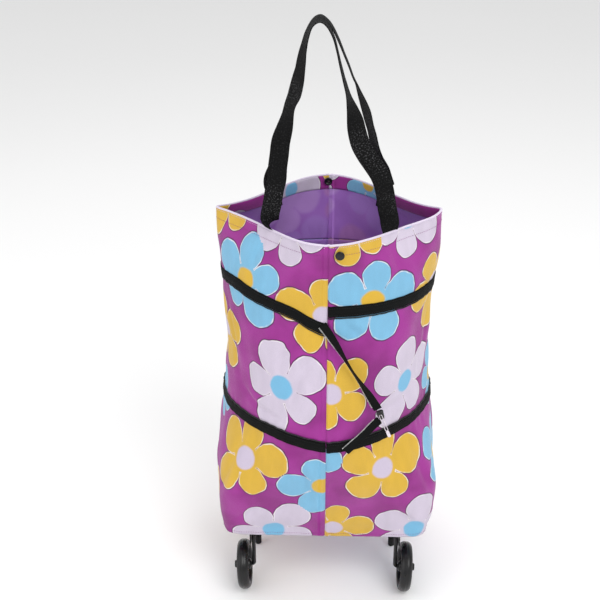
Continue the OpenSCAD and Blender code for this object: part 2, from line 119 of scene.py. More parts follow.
# Daisies of the print: colour, distance along the cloth from the front seam, height, radius,
# direction of one petal in degrees. Left of the seam the distance is negative.
BLUE, YELLOW, WHITE = 0, 1, 2
LEFT_DAISIES = [
    (BLUE, -125, 510, 62, 85), (YELLOW, -4, 478, 62, 90), (YELLOW, -190, 607, 58, -45),
    (WHITE, -62, 600, 58, -81), (WHITE, -65, 370, 66, 105), (YELLOW, -203, 410, 60, 20),
    (YELLOW, -123, 246, 63, 10), (BLUE, -4, 217, 60, 180), (WHITE, -76, 113, 64, 125),
    (YELLOW, -220, 160, 56, 30), (BLUE, -225, 300, 42, 60), (WHITE, -243, 505, 46, 30)]
RIGHT_DAISIES = [
    (YELLOW, 34, 602, 50, -103), (WHITE, 128, 596, 56, -100), (BLUE, 62, 496, 64, 80),
    (YELLOW, 187, 486, 60, 120), (WHITE, 126, 363, 62, 90), (YELLOW, 6, 371, 56, 39),
    (YELLOW, 82, 246, 63, 10), (BLUE, -34, 268, 53, 0), (YELLOW, 12, 122, 54, 80),
    (WHITE, 133, 118, 64, 148), (BLUE, 208, 222, 52, 140), (BLUE, 226, 330, 46, 100),
    (WHITE, 232, 412, 34, 150)]
# The rest of each panel carries a staggered repeat of the same three colours.
REPEAT_W, REPEAT_H = 108, 96
PETALS = 5
PETAL_MID, PETAL_LONG, PETAL_WIDE, PETAL_FLARE = 0.60, 0.41, 0.262, 0.17
HEART_R = 0.36
EDGE_SHARE = 0.36

# Creases in the cloth: start and end along the cloth and in height, depth and width.
CREASES = [
    (-10, 455, -95, 395, 2.2, 9), (-12, 430, -60, 330, 1.8, 8), (10, 470, 70, 425, 1.6, 9),
    (-150, 350, -60, 315, 2.0, 8), (150, 345, 60, 322, 1.8, 9), (-185, 470, -150, 340, 2.2, 12),
    (180, 465, 160, 330, 2.0, 12), (-30, 270, -20, 150, 1.6, 10), (40, 275, 30, 190, 1.4, 10),
    (-140, 280, -165, 150, 2.2, 12), (140, 275, 168, 140, 2.2, 12), (-90, 180, -150, 115, 1.8, 10),
    (100, 170, 155, 112, 1.8, 10), (-100, 575, -120, 500, 1.6, 9), (95, 570, 120, 505, 1.6, 9),
    (-20, 560, -60, 510, 1.2, 8), (260, 460, 300, 340, 2.2, 12), (-260, 455, -310, 345, 2.2, 12),
    (420, 450, 350, 390, 2.0, 10), (-415, 440, -350, 360, 2.0, 10), (390, 260, 330, 150, 2.0, 12),
    (-395, 255, -330, 160, 2.0, 12), (300, 570, 330, 500, 1.6, 9), (-300, 568, -335, 505, 1.6, 9)]


# --- curves through a few values ---

def smooth_lookup(x, table):
    """Monotone cubic through the table's points, level beyond its ends."""
    xs, ys = (np.array(column, float) for column in zip(*table))
    slopes = np.diff(ys) / np.diff(xs)
    ends = np.zeros(len(xs))
    for i in range(1, len(xs) - 1):
        before, after = slopes[i - 1], slopes[i]
        if before * after > 0:
            ends[i] = 2 * before * after / (before + after)
    x = np.clip(x, xs[0], xs[-1])
    i = np.clip(np.searchsorted(xs, x, side="right") - 1, 0, len(xs) - 2)
    step = xs[i + 1] - xs[i]
    t = (x - xs[i]) / step
    return (ys[i] * (2 * t**3 - 3 * t**2 + 1) + ys[i + 1] * (3 * t**2 - 2 * t**3)
            + step * (ends[i] * (t**3 - 2 * t**2 + t) + ends[i + 1] * (t**3 - t**2)))


def smooth_path(points, per_span):
    """Catmull-Rom curve through rows of numbers."""
    p = np.array(points, float)
    p = np.vstack([2 * p[0] - p[1], p, 2 * p[-1] - p[-2]])
    rows = []
    for i in range(1, len(p) - 2):
        for t in np.arange(per_span) / per_span:
            rows.append(0.5 * (2 * p[i] + (p[i + 1] - p[i - 1]) * t
                        + (2 * p[i - 1] - 5 * p[i] + 4 * p[i + 1] - p[i + 2]) * t**2
                        + (3 * p[i] - p[i - 1] - 3 * p[i + 1] + p[i + 2]) * t**3))
    rows.append(p[-2])
    return np.array(rows)


def unit(v):
    return v / np.maximum(np.linalg.norm(v, axis=-1, keepdims=True), 1e-12)


def bell(x, width):
    return np.exp(-(x / width) ** 2)


# --- shape of the bag ---

def profile(z, column):
    return smooth_lookup(z, [(row[0], row[column]) for row in PROFILE])


def outline(turn, z):
    """Point of the plain bag surface at a turn in degrees and a height."""
    angle = np.radians(turn)
    c, s = np.cos(angle), np.sin(angle)
    power, k = 2 / profile(z, 3), profile(z, 4)
    fullness = np.where(s < 0, FRONT_FULLNESS + FRONT_SKEW * c, BACK_FULLNESS)
    lens = np.sign(s) * ((1 - fullness) * (0.5 + 0.5 * np.cos(np.pi * c)) + fullness * np.abs(s))
    x = (1 - k) * np.sign(c) * np.abs(c) ** power + k * c
    y = (1 - k) * np.sign(s) * np.abs(s) ** power + k * lens
    return profile(z, 1) * x, profile(z, 2) * y


# Surface tables over height and share of the way round, which runs from the front seam over
# the right side to the back seam at one half and on over the left side.
LEVELS = np.arange(BASE_Z - 4, RIM_Z + 4, 1.5)
SHARES = np.linspace(0, 1, 961)


def build_tables():
    quarter = np.linspace(0, 1, 300)[:-1]
    eased = quarter**2.5 / (quarter**2.5 + (1 - quarter) ** 2.5)
    turns = np.concatenate([270 + 90 * (q + eased) for q in range(4)] + [[630]])
    half = len(turns) // 2
    xs, ys, arcs, turned = [], [], [], []
    for z in LEVELS:
        x, y = outline(turns, np.full(len(turns), z))
        arc = np.concatenate([[0], np.cumsum(np.hypot(np.diff(x), np.diff(y)))])
        share = np.concatenate([0.5 * arc[:half] / arc[half],
                                0.5 + 0.5 * (arc[half:] - arc[half]) / (arc[-1] - arc[half])])
        xs.append(np.interp(SHARES, share, x))
        ys.append(np.interp(SHARES, share, y))
        arcs.append(np.interp(SHARES, share, arc))
        turned.append(np.interp(SHARES, share, (turns - 270) / 360))
    return np.array([xs, ys, arcs, turned])


TABLES = build_tables()


def look(table, share, z):
    """Value of a surface table between its rows and columns."""
    column = np.clip(share, 0, 1) * (len(SHARES) - 1)
    row = np.clip((z - LEVELS[0]) / (LEVELS[1] - LEVELS[0]), 0, len(LEVELS) - 1.001)
    i, j = np.minimum(column.astype(int), len(SHARES) - 2), row.astype(int)
    a, b = column - i, row - j
    return ((table[j, i] * (1 - a) + table[j, i + 1] * a) * (1 - b)
            + (table[j + 1, i] * (1 - a) + table[j + 1, i + 1] * a) * b)


def along_cloth(share, z):
    """Distance along the cloth from the front seam, negative left of it."""
    arc = look(TABLES[2], share, z)
    return np.where(share > 0.5, arc - look(TABLES[2], np.ones_like(share), z), arc)


def zip_height(share, nominal, droop):
    level = np.full_like(share, nominal, dtype=float)
    return level + smooth_lookup(look(TABLES[3], share, level), droop)


def upper_zip(share):
    return zip_height(share, UPPER_ZIP_Z, UPPER_ZIP_DROOP)


def lower_zip(share):
    return zip_height(share, LOWER_ZIP_Z, LOWER_ZIP_DROOP)


def folds(share, z):
    """How far the cloth stands proud of the plain surface."""
    s = along_cloth(share, z)
    upper, lower = upper_zip(share), lower_zip(share)
    free = 1 - 0.8 * bell(z - upper, 20) - 0.8 * bell(z - lower, 20)
    free = free * (1 - bell(z - BASE_Z, 14)) * (1 - 0.7 * bell(z - RIM_Z, 30))
    side = bell((np.abs(s) - 218), 14) * np.clip((z - 500) / 80, 0, 1)
    free = free * (1 - side)
    waves = (1.5 * np.sin(s / 17 + z / 61 + 0.6) + 1.1 * np.sin(s / 10.5 - z / 37 + 2.1)
             + 1.2 * np.sin(z / 19 + s / 44 + 1.1) + 0.7 * np.sin(z / 11 - s / 23 + 4.0)
             + 0.4 * np.sin(s / 5.6 + z / 15 + 0.3))
    total = 0.7 * waves * free
    for s0, z0, s1, z1, depth, width in CREASES:
        run = np.array([s1 - s0, z1 - z0], float)
        length = np.linalg.norm(run)
        t = ((s - s0) * run[0] + (z - z0) * run[1]) / length**2
        across = ((z - z0) * run[0] - (s - s0) * run[1]) / length
        across = across + 4 * np.sin(3.1 * t + s0)
        taper = np.clip(t * 3, 0, 1) * np.clip((1 - t) * 2, 0, 1)
        total += 1.35 * taper * depth * (0.7 * bell(across - 1.3 * width, width) - bell(across, 0.6 * width))
    pucker = bell(z - upper - 14, 9) + bell(z - upper + 14, 9)
    pucker = pucker + bell(z - lower - 14, 9) + bell(z - lower + 14, 9) + bell(z - BASE_Z - 8, 8)
    total += 0.45 * pucker * np.sin(s / 2.9 + 1.7 * np.sin(s / 13))
    back = 0.5 * (look(TABLES[2], np.ones_like(share), z))
    for seam in (np.abs(s), np.abs(np.abs(s) - back)):
        total += 0.8 * bell(seam - 4, 2.6) - 1.2 * bell(seam, 1.1)
    rounding = np.clip((BASE_Z + 5 - z) / 5, 0, 1)
    return total - 1.5 * rounding**2


def cloth_point(share, z, out=0.0, folded=True):
    """Points of the bag's cloth in metres; out moves them outwards."""
    share, z = np.broadcast_arrays(np.asarray(share, float), np.asarray(z, float))
    x, y = look(TABLES[0], share, z), look(TABLES[1], share, z)
    step = 0.002
    before, after = np.clip(share - step, 0, 1), np.clip(share + step, 0, 1)
    dx = look(TABLES[0], after, z) - look(TABLES[0], before, z)
    dy = look(TABLES[1], after, z) - look(TABLES[1], before, z)
    size = np.maximum(np.hypot(dx, dy), 1e-9)
    proud = folds(share, z) if folded else 0.0
    x = x * (1 + out / profile(z, 1)) + proud * dy / size
    y = y * (1 + out / profile(z, 2)) - proud * dx / size
    return np.stack([x, y, z], axis=-1) * MM


def cloth_normal(share, z):
    step_s, step_z = 0.0015, 1.0
    du = cloth_point(share + step_s, z) - cloth_point(share - step_s, z)
    dz = cloth_point(share, z + step_z) - cloth_point(share, z - step_z)
    return unit(np.cross(du, dz))


# --- meshes ---

def make_mesh(name, points, faces, smooth=True, recalc=True):
    mesh = bpy.data.meshes.new(name)
    mesh.from_pydata([tuple(p) for p in np.asarray(points, float)], [], faces)
    if recalc:
        bm = bmesh.new()
        bm.from_mesh(mesh)
        bmesh.ops.recalc_face_normals(bm, faces=bm.faces)
        bm.to_mesh(mesh)
        bm.free()
    mesh.polygons.foreach_set("use_smooth", [smooth] * len(mesh.polygons))
    mesh.update()
    piece = bpy.data.objects.new(name, mesh)
    bpy.context.scene.collection.objects.link(piece)
    return piece


def grid_faces(rows, columns, wrap_columns=False, wrap_rows=False, first=0):
    """Quads of a grid of points stored row by row."""
    faces = []
    for j in range(rows if wrap_rows else rows - 1):
        for i in range(columns if wrap_columns else columns - 1):
            k, m = (i + 1) % columns, (j + 1) % rows
            faces.append((first + j * columns + i, first + j * columns + k,
                          first + m * columns + k, first + m * columns + i))
    return faces


def tube(name, centres, sides_a, sides_b, section, closed=False):
    """Sweep of a closed section, given as pairs along sides_a and sides_b, over the centres."""
    section = np.asarray(section, float)
    rings = (centres[:, None] + section[None, :, :1] * sides_a[:, None]
             + section[None, :, 1:] * sides_b[:, None])
    n, m = rings.shape[:2]
    faces = grid_faces(n, m, wrap_columns=True, wrap_rows=closed)
    if not closed:
        faces += [tuple(range(m))[::-1], tuple((n - 1) * m + i for i in range(m))]
    return make_mesh(name, rings.reshape(-1, 3), faces)


def circle_section(radius, sides=10):
    angles = np.arange(sides) * 2 * math.pi / sides
    return np.stack([np.cos(angles), np.sin(angles)], axis=1) * radius


def path_frames(points, closed=False):
    """Tangents of a line of points."""
    if closed:
        return unit(np.roll(points, -1, axis=0) - np.roll(points, 1, axis=0))
    return unit(np.gradient(points, axis=0))


def wire(name, points, radius, closed=False, sides=10, up=(0.0, 1.0, 0.0)):
    tangents = path_frames(points, closed)
    a = unit(np.cross(tangents, np.array(up)))
    b = np.cross(tangents, a)
    return tube(name, points, a, b, circle_section(radius, sides), closed)


def lathe(name, outline_points, place, sides=72, closed=False):
    """Turned shape: outline of (radius, along) in metres about the place's own Z."""
    angles = np.arange(sides) * 2 * math.pi / sides
    profile_points = np.array(outline_points, float)
    points = [place @ Vector((r * math.cos(a), r * math.sin(a), z))
              for r, z in profile_points for a in angles]
    rows = len(profile_points)
    faces = grid_faces(rows, sides, wrap_columns=True, wrap_rows=closed)
    if not closed:
        faces += [tuple(range(sides)), tuple((rows - 1) * sides + i for i in range(sides))]
    return make_mesh(name, [tuple(p) for p in points], faces)


BEAD_STEPS = [(0.0, 0.35, 0.0), (0.12, 0.85, 0.5), (0.5, 1.0, 1.0), (0.88, 0.85, 0.5),
              (1.0, 0.35, 0.0)]


def beads(name, starts, ends, normals, radius, lift, sides=6):
    """One small rounded thread or tooth from each start to its end, arched along the normal."""
    directions = unit(ends - starts)
    across = unit(np.cross(directions, normals))
    up = np.cross(across, directions)
    angles = np.arange(sides) * 2 * math.pi / sides
    rings = []
    for t, swell, rise in BEAD_STEPS:
        centre = starts + (ends - starts) * t + up * lift * rise
        ring = (np.cos(angles)[None, :, None] * across[:, None]
                + np.sin(angles)[None, :, None] * up[:, None])
        rings.append(centre[:, None] + ring * radius * swell)
    points = np.stack(rings, axis=1)
    count, layers = len(starts), len(BEAD_STEPS)
    faces = []
    for n in range(count):
        first = n * layers * sides
        faces += grid_faces(layers, sides, wrap_columns=True, first=first)
        faces.append(tuple(first + i for i in range(sides))[::-1])
        faces.append(tuple(first + (layers - 1) * sides + i for i in range(sides)))
    return make_mesh(name, points.reshape(-1, 3), faces)


def spaced(shares, heights, pitch):
    """Shares at equal distances in millimetres along a line on the cloth."""
    line = cloth_point(shares, heights) / MM
    arc = np.concatenate([[0], np.cumsum(np.linalg.norm(np.diff(line, axis=0), axis=1))])
    return np.interp(np.arange(0, arc[-1] - pitch, pitch), arc, shares), arc[-1]


def stitch_rows(name, rows, out, pitch=3.4, length=2.3, radius=0.28):
    """Rows of stitches; each row is a function that gives its height at a share."""
    starts, ends, normals = [], [], []
    for height in rows:
        shares = np.linspace(0.002, 0.998, 900)
        at, total = spaced(shares, height(shares), pitch)
        until = at + length / total
        starts.append(cloth_point(at, height(at), out))
        ends.append(cloth_point(until, height(until), out))
        normals.append(cloth_normal(at, height(at)))
    return beads(name, np.vstack(starts), np.vstack(ends), np.vstack(normals),
                 radius * MM, radius * MM)


# --- print ---

def panel_daisies(side):
    """Daisies of the right (1) or left (-1) half, with the repeat behind the sides."""
    daisies = list(RIGHT_DAISIES if side > 0 else LEFT_DAISIES)
    for row in range(6):
        for column in range(3):
            n = 3 * row + column
            shift = REPEAT_W / 2 if row % 2 else 0
            s = 300 + REPEAT_W * column + shift + 8 * math.sin(2.3 * n)
            z = 76 + REPEAT_H * row + 8 * math.sin(1.7 * n + side)
            colour = (row + 2 * column + (side > 0)) % 3
            daisies.append((colour, side * s, z, 49 + 4 * math.sin(3.1 * n), 40 * n + 15))
    return np.array(daisies, float)


DAISIES = {side: panel_daisies(side) for side in (1, -1)}
SEEDS = 0.137
LENGTH_SPREAD = 0.12


def petal_distance(x, y, seed):
    """Distance outside a daisy's outline, in shares of its radius."""
    r, angle = np.hypot(x, y), np.arctan2(y, x)
    index = np.round(angle * PETALS / (2 * math.pi))
    turned = angle - index * 2 * math.pi / PETALS
    q = r / (1 + LENGTH_SPREAD * np.sin(2.4 * index + 40 * seed))
    along, across = q * np.cos(turned), q * np.sin(turned)
    ex = (along - PETAL_MID) / PETAL_LONG
    ey = across / (PETAL_WIDE + PETAL_FLARE * np.clip(along, 0, None))
    return np.minimum((np.hypot(ex, ey) - 1) * 0.36, r - HEART_R)


def print_uvs(piece, s, z, side):
    """Sets the cloth, petal and kind coordinates from the corners' places on the cloth.

    s and z hold four corners per face, in millimetres; side holds 1 or -1 per face."""
    count = len(s)
    best = np.full(count, 1e9)
    petal = np.zeros((count, 4, 2))
    kind = np.zeros((count, 4, 2))
    middle_s, middle_z = s.mean(1), z.mean(1)
    for panel, daisies in DAISIES.items():
        on_panel = side == panel
        for n, (colour, s0, z0, radius, turn) in enumerate(daisies):
            seed = (n * SEEDS) % 1
            c, d = math.cos(math.radians(turn)), math.sin(math.radians(turn))
            mx, my = (middle_s - s0) / radius, (middle_z - z0) / radius
            distance = petal_distance(mx * c + my * d, my * c - mx * d, seed) * radius
            take = on_panel & (distance < best)
            best[take] = distance[take]
            x, y = (s[take] - s0) / radius, (z[take] - z0) / radius
            petal[take] = np.stack([x * c + y * d, y * c - x * d], axis=-1)
            kind[take] = ((colour + 0.5) / 3, seed)
    cloth = np.stack([s, z], axis=-1) * MM
    for layer, values in (("cloth", cloth), ("petal", petal), ("kind", kind)):
        uv = piece.data.uv_layers.new(name=layer)
        uv.data.foreach_set("uv", values.astype(np.float32).ravel())


SEAM_STEPS = np.array([0, 0.7, 1.5, 2.5, 3.8, 5.2, 7.0]) / 870
ROUND_COLUMNS = 150


def ring_shares():
    """Shares of the columns of a cloth tube, finer at the two seams; the last one is left out."""
    plain = np.linspace(SEAM_STEPS[-1], 0.5 - SEAM_STEPS[-1], ROUND_COLUMNS)
    half = np.concatenate([SEAM_STEPS[:-1], plain, 0.5 - SEAM_STEPS[:0:-1]])
    return np.concatenate([half, 0.5 + half])


def cloth_tube(name, low, high, rows, outer, inner, materials, shift=(0, 0)):
    """Closed band of cloth round the bag between two heights, with an outer and an inner face."""
    shares = ring_shares()
    n = len(shares)
    t = np.linspace(0, 1, rows)[:, None]
    heights = low(shares)[None] * (1 - t) + high(shares)[None] * t
    round_shares = np.broadcast_to(shares, heights.shape)
    layers = [cloth_point(round_shares, heights, out) for out in (outer, inner)]
    points = np.concatenate([layer.reshape(-1, 3) for layer in layers])
    size = rows * n
    columns = np.arange(n)
    after = (columns + 1) % n
    # Corners by row, column and layer; the column index may be n, which is the front seam again.
    faces, cells = [], []
    for j in range(rows - 1):
        a = j * n
        b = a + n
        faces.append(np.stack([a + columns, a + after, b + after, b + columns], 1))
        cells.append((j, j, j + 1, j + 1))
        faces.append(np.stack([size + a + columns, size + b + columns,
                               size + b + after, size + a + after], 1))
        cells.append((j, j + 1, j + 1, j))
    top = (rows - 1) * n
    faces.append(np.stack([columns, size + columns, size + after, after], 1))
    cells.append((0, 0, 0, 0))
    faces.append(np.stack([top + columns, top + after, size + top + after,
                           size + top + columns], 1))
    cells.append((rows - 1,) * 4)
    outer_steps, inner_steps = (0, 1, 1, 0), (0, 0, 1, 1)
    every = np.concatenate(faces)
    closed_shares = np.concatenate([shares, [1.0]])
    s_list, z_list, side_list, material_list = [], [], [], []
    for k, rows_of in enumerate(cells):
        is_inner = k % 2 == 1 and k < len(cells) - 2
        step = inner_steps if is_inner or k == len(cells) - 2 else outer_steps
        low_row = np.array(rows_of)
        corner_share = np.stack([closed_shares[columns + d] for d in step], 1)
        corner_z = np.stack([heights[r, (columns + d) % n] for r, d in zip(low_row, step)], 1)
        arc = look(TABLES[2], corner_share, corner_z)
        whole = look(TABLES[2], np.ones_like(corner_share), corner_z)
        left = (columns >= n // 2)[:, None]
        s_list.append(np.where(left, arc - whole, arc))
        z_list.append(corner_z)
        side_list.append(np.where(left[:, 0], -1, 1))
        material_list.append(np.full(n, 1 if is_inner and len(materials) > 1 else 0))
    piece = make_mesh(name, points, [tuple(f) for f in every.tolist()], recalc=False)
    s, z = np.concatenate(s_list) + shift[0], np.concatenate(z_list) + shift[1]
    side = np.concatenate(side_list)
    print_uvs(piece, s, z, side)
    for material in materials:
        piece.data.materials.append(material)
    piece.data.polygons.foreach_set("material_index", np.concatenate(material_list))
    return piece


# --- materials ---

def srgb(red, green, blue):
    """Linear colour of an sRGB one given from 0 to 255."""
    linear = [v / 255 / 12.92 if v <= 10 else ((v / 255 + 0.055) / 1.055) ** 2.4
              for v in (red, green, blue)]
    return (*linear, 1.0)


class Shade:
    """One material, with short calls for the nodes that it uses."""

    def __init__(self, name, **settings):
        self.material = bpy.data.materials.new(name)
        self.material.use_nodes = True
        self.tree = self.material.node_tree
        self.bsdf = self.tree.nodes["Principled BSDF"]
        for socket, value in settings.items():
            self.bsdf.inputs[socket.replace("_", " ")].default_value = value

    def feed(self, socket, value):
        if isinstance(value, bpy.types.NodeSocket):
            self.tree.links.new(value, socket)
        else:
            socket.default_value = value

    def new(self, kind, **settings):
        made = self.tree.nodes.new("ShaderNode" + kind)
        for key, value in settings.items():
            setattr(made, key, value)
        return made

    def math(self, operation, a, b=0.0, clamp=False):
        made = self.new("Math", operation=operation, use_clamp=clamp)
        self.feed(made.inputs[0], a)
        self.feed(made.inputs[1], b)
        return made.outputs[0]

    def mix(self, share, a, b):
        made = self.new("Mix", data_type="RGBA")
        self.feed(made.inputs[0], share)
        self.feed(made.inputs[6], a)
        self.feed(made.inputs[7], b)
        return made.outputs[2]

    def ramp(self, value, low, high, to_low=0.0, to_high=1.0):
        made = self.new("MapRange", interpolation_type="SMOOTHSTEP")
        for socket, given in zip(made.inputs, (value, low, high, to_low, to_high)):
            self.feed(socket, given)
        return made.outputs[0]

    def uv(self, name):
        return self.new("UVMap", uv_map=name).outputs[0]

    def place(self):
        return self.new("TexCoord").outputs["Object"]

    def axes(self, vector):
        made = self.new("SeparateXYZ")
        self.feed(made.inputs[0], vector)
        return made.outputs

    def noise(self, vector, scale, detail=3.0, colour=False):
        made = self.new("TexNoise")
        self.feed(made.inputs["Vector"], vector)
        made.inputs["Scale"].default_value = scale
        made.inputs["Detail"].default_value = detail
        return made.outputs["Color" if colour else "Fac"]

    def vector(self, operation, a, b):
        made = self.new("VectorMath", operation=operation)
        self.feed(made.inputs[0], a)
        self.feed(made.inputs[1], b)
        return made.outputs[0]

    def combine(self, x, y, z=0.0):
        made = self.new("CombineXYZ")
        for socket, value in zip(made.inputs, (x, y, z)):
            self.feed(socket, value)
        return made.outputs[0]

    def colour(self, value):
        self.feed(self.bsdf.inputs["Base Color"], value)

    def roughness(self, value):
        self.feed(self.bsdf.inputs["Roughness"], value)

    def bump(self, height, distance, strength=1.0):
        made = self.new("Bump")
        made.inputs["Distance"].default_value = distance
        made.inputs["Strength"].default_value = strength
        self.feed(made.inputs["Height"], height)
        if self.bsdf.inputs["Normal"].links:
            self.feed(made.inputs["Normal"], self.bsdf.inputs["Normal"].links[0].from_socket)
        self.feed(self.bsdf.inputs["Normal"], made.outputs[0])

    def darken(self, colour, share, low, high):
        """Colour times a factor between low and high."""
        made = self.new("HueSaturation")
        self.feed(made.inputs["Color"], colour)
        self.feed(made.inputs["Value"], self.ramp(share, 0.0, 1.0, low, high))
        return made.outputs[0]


def weave_height(shade, vector, pitch_a, pitch_b):
    """Plain weave: crossed threads of the given pitches in metres."""
    x, y, _ = shade.axes(vector)
    a = shade.math("SINE", shade.math("MULTIPLY", x, 2 * math.pi / pitch_a))
    b = shade.math("SINE", shade.math("MULTIPLY", y, 2 * math.pi / pitch_b))
    return shade.math("MULTIPLY", a, b)


def daisy_masks(shade):
    """Distance outside the petals, distance from the centre, colour index and seed."""
    kind_x, seed, _ = shade.axes(shade.uv("kind"))
    drift = shade.noise(shade.uv("cloth"), 38.0, 2.0, colour=True)
    drift = shade.vector("MULTIPLY", shade.vector("SUBTRACT", drift, (0.5, 0.5, 0.5)),
                         (0.11, 0.11, 0.0))
    x, y, _ = shade.axes(shade.vector("ADD", shade.uv("petal"), drift))
    r = shade.math("SQRT", shade.math("ADD", shade.math("POWER", x, 2.0), shade.math("POWER", y, 2.0)))
    angle = shade.math("ARCTAN2", y, x)
    index = shade.math("ROUND", shade.math("MULTIPLY", angle, PETALS / (2 * math.pi)))
    turned = shade.math("SUBTRACT", angle, shade.math("MULTIPLY", index, 2 * math.pi / PETALS))
    phase = shade.math("ADD", shade.math("MULTIPLY", index, 2.4), shade.math("MULTIPLY", seed, 40.0))
    size = shade.math("ADD", 1.0, shade.math("MULTIPLY", shade.math("SINE", phase), LENGTH_SPREAD))
    q = shade.math("DIVIDE", r, size)
    along = shade.math("MULTIPLY", q, shade.math("COSINE", turned))
    across = shade.math("MULTIPLY", q, shade.math("SINE", turned))
    ex = shade.math("DIVIDE", shade.math("SUBTRACT", along, PETAL_MID), PETAL_LONG)
    flare = shade.math("MULTIPLY", shade.math("MAXIMUM", along, 0.0), PETAL_FLARE)
    wide = shade.math("ADD", PETAL_WIDE, flare)
    ey = shade.math("DIVIDE", across, wide)
    squares = shade.math("ADD", shade.math("POWER", ex, 2.0), shade.math("POWER", ey, 2.0))
    outside = shade.math("SQRT", squares)
    outside = shade.math("MULTIPLY", shade.math("SUBTRACT", outside, 1.0), EDGE_SHARE)
    outside = shade.math("MINIMUM", outside, shade.math("SUBTRACT", r, HEART_R))
    return outside, r, kind_x, along


def by_kind(shade, kind, colours):
    first = shade.math("LESS_THAN", kind, 1 / 3)
    last = shade.math("GREATER_THAN", kind, 2 / 3)
    return shade.mix(last, shade.mix(first, colours[1], colours[0]), colours[2])


GROUND = srgb(158, 42, 144)
GROUND_DARK = srgb(134, 32, 120)
INK = srgb(60, 12, 56)
PETAL_COLOURS = (srgb(122, 182, 216), srgb(214, 172, 56), srgb(205, 194, 212))
HEART_COLOURS = (srgb(214, 172, 52), srgb(200, 188, 208), srgb(116, 180, 216))


def printed_cloth():
    shade = Shade("print_cloth", Roughness=0.7, Specular_IOR_Level=0.35, Sheen_Weight=0.18,
                  Sheen_Roughness=0.5)
    cloth = shade.uv("cloth")
    outside, r, kind, along = daisy_masks(shade)
    broad = shade.noise(cloth, 14.0, 3.0)
    fine = shade.noise(cloth, 900.0, 2.0)
    ground = shade.mix(shade.ramp(broad, 0.35, 0.7), GROUND, GROUND_DARK)
    ink = shade.ramp(outside, 0.024, 0.012)
    petal = shade.ramp(outside, 0.004, -0.006)
    patchy = shade.ramp(shade.noise(cloth, 70.0, 2.0), 0.38, 0.6, 0.15, 0.85)
    rim = shade.math("MULTIPLY", shade.ramp(outside, -0.030, -0.012), patchy)
    heart = shade.ramp(r, 0.285, 0.225)
    tint = by_kind(shade, kind, PETAL_COLOURS)
    tint = shade.mix(shade.math("MULTIPLY", rim, petal), tint, srgb(236, 230, 234))
    streak = shade.noise(shade.vector("MULTIPLY", cloth, (60.0, 22.0, 1.0)), 1.0, 3.0)
    tint = shade.darken(tint, streak, 0.9, 1.06)
    tint = shade.mix(heart, tint, by_kind(shade, kind, HEART_COLOURS))
    colour = shade.mix(shade.math("MULTIPLY", ink, 0.85), ground, INK)
    colour = shade.mix(petal, colour, tint)
    threads = weave_height(shade, cloth, 0.0011, 0.0011)
    colour = shade.darken(colour, shade.math("ADD", shade.math("MULTIPLY", fine, 0.8),
                                             shade.math("MULTIPLY", threads, 0.15)), 0.88, 1.10)
    shade.colour(colour)
    shade.roughness(shade.ramp(broad, 0.3, 0.7, 0.62, 0.78))
    shade.bump(threads, 0.00012, 0.5)
    shade.bump(shade.noise(cloth, 260.0, 3.0), 0.0005, 0.35)
    return shade.material


def lining_cloth():
    shade = Shade("lining_cloth", Roughness=0.62, Specular_IOR_Level=0.3, Sheen_Weight=0.2)
    cloth = shade.uv("cloth")
    outside, _, kind, _ = daisy_masks(shade)
    show = shade.math("MULTIPLY", shade.ramp(outside, 0.08, -0.06), 0.34)
    base = shade.mix(shade.noise(cloth, 12.0), srgb(176, 124, 206), srgb(152, 98, 188))
    through = by_kind(shade, kind, (srgb(176, 148, 216), srgb(190, 134, 160), srgb(214, 182, 230)))
    shade.colour(shade.darken(shade.mix(show, base, through), shade.noise(cloth, 700.0), 0.9, 1.08))
    shade.bump(weave_height(shade, cloth, 0.001, 0.001), 0.0001, 0.5)
    shade.bump(shade.noise(cloth, 140.0, 3.0), 0.0007, 0.4)
    return shade.material


def woven(name, low, high, pitch, depth, roughness, speck=0.5, shine=0.3):
    """Coarse woven or knitted material in two tones, on a cloth coordinate."""
    shade = Shade(name, Roughness=roughness, Specular_IOR_Level=shine)
    cloth = shade.uv("cloth")
    threads = weave_height(shade, cloth, pitch, pitch * 1.3)
    grain = shade.noise(cloth, 1.1 / pitch, 2.0)
    tone = shade.math("ADD", shade.math("MULTIPLY", threads, 0.35),
                      shade.math("MULTIPLY", grain, speck * 2))
    shade.colour(shade.mix(shade.ramp(tone, 0.25, 1.0), low, high))
    shade.roughness(shade.ramp(grain, 0.3, 0.7, roughness - 0.1, roughness + 0.12))
    shade.bump(threads, depth)
    shade.bump(shade.noise(cloth, 90.0), 0.0004, 0.3)
    return shade.material


def webbing_cloth():
    """Black webbing: ribs across, fine threads along and painted glints, grey highlights on the fuzz
    gathered in patches.
    """
    shade = Shade("webbing", Roughness=0.7, Specular_IOR_Level=0.15)
    cloth = shade.uv("cloth")
    x, y, _ = shade.axes(cloth)
    slant = shade.math("ADD", y, shade.math("MULTIPLY", shade.math("ABSOLUTE", x), 0.6))
    ribs = shade.math("SINE", shade.math("MULTIPLY", slant, 2 * math.pi / 0.0021))
    cords = shade.math("SINE", shade.math("MULTIPLY", x, 2 * math.pi / 0.0016))
    threads = shade.math("MULTIPLY", ribs, cords)
    fuzz = shade.noise(cloth, 520.0, 3.0)
    # Painted highlight: grey glints on the fuzz, stronger in patches and on thread crests, stand in for
    # light catching the fibres.
    wear_and_glint = shade.ramp(shade.noise(cloth, 11.0, 2.0), 0.44, 0.62)
    glint = shade.math("MULTIPLY", shade.ramp(fuzz, 0.5, 0.72), shade.ramp(wear_and_glint, 0.0, 1.0, 0.22, 1.0))
    glint = shade.math("MULTIPLY", glint, shade.ramp(threads, -0.6, 0.6, 0.5, 1.0))
    shade.colour(shade.mix(glint, srgb(5, 5, 6), srgb(92, 92, 94)))
    shade.bump(threads, 0.0003)
    shade.bump(fuzz, 0.0004, 0.5)
    return shade.material


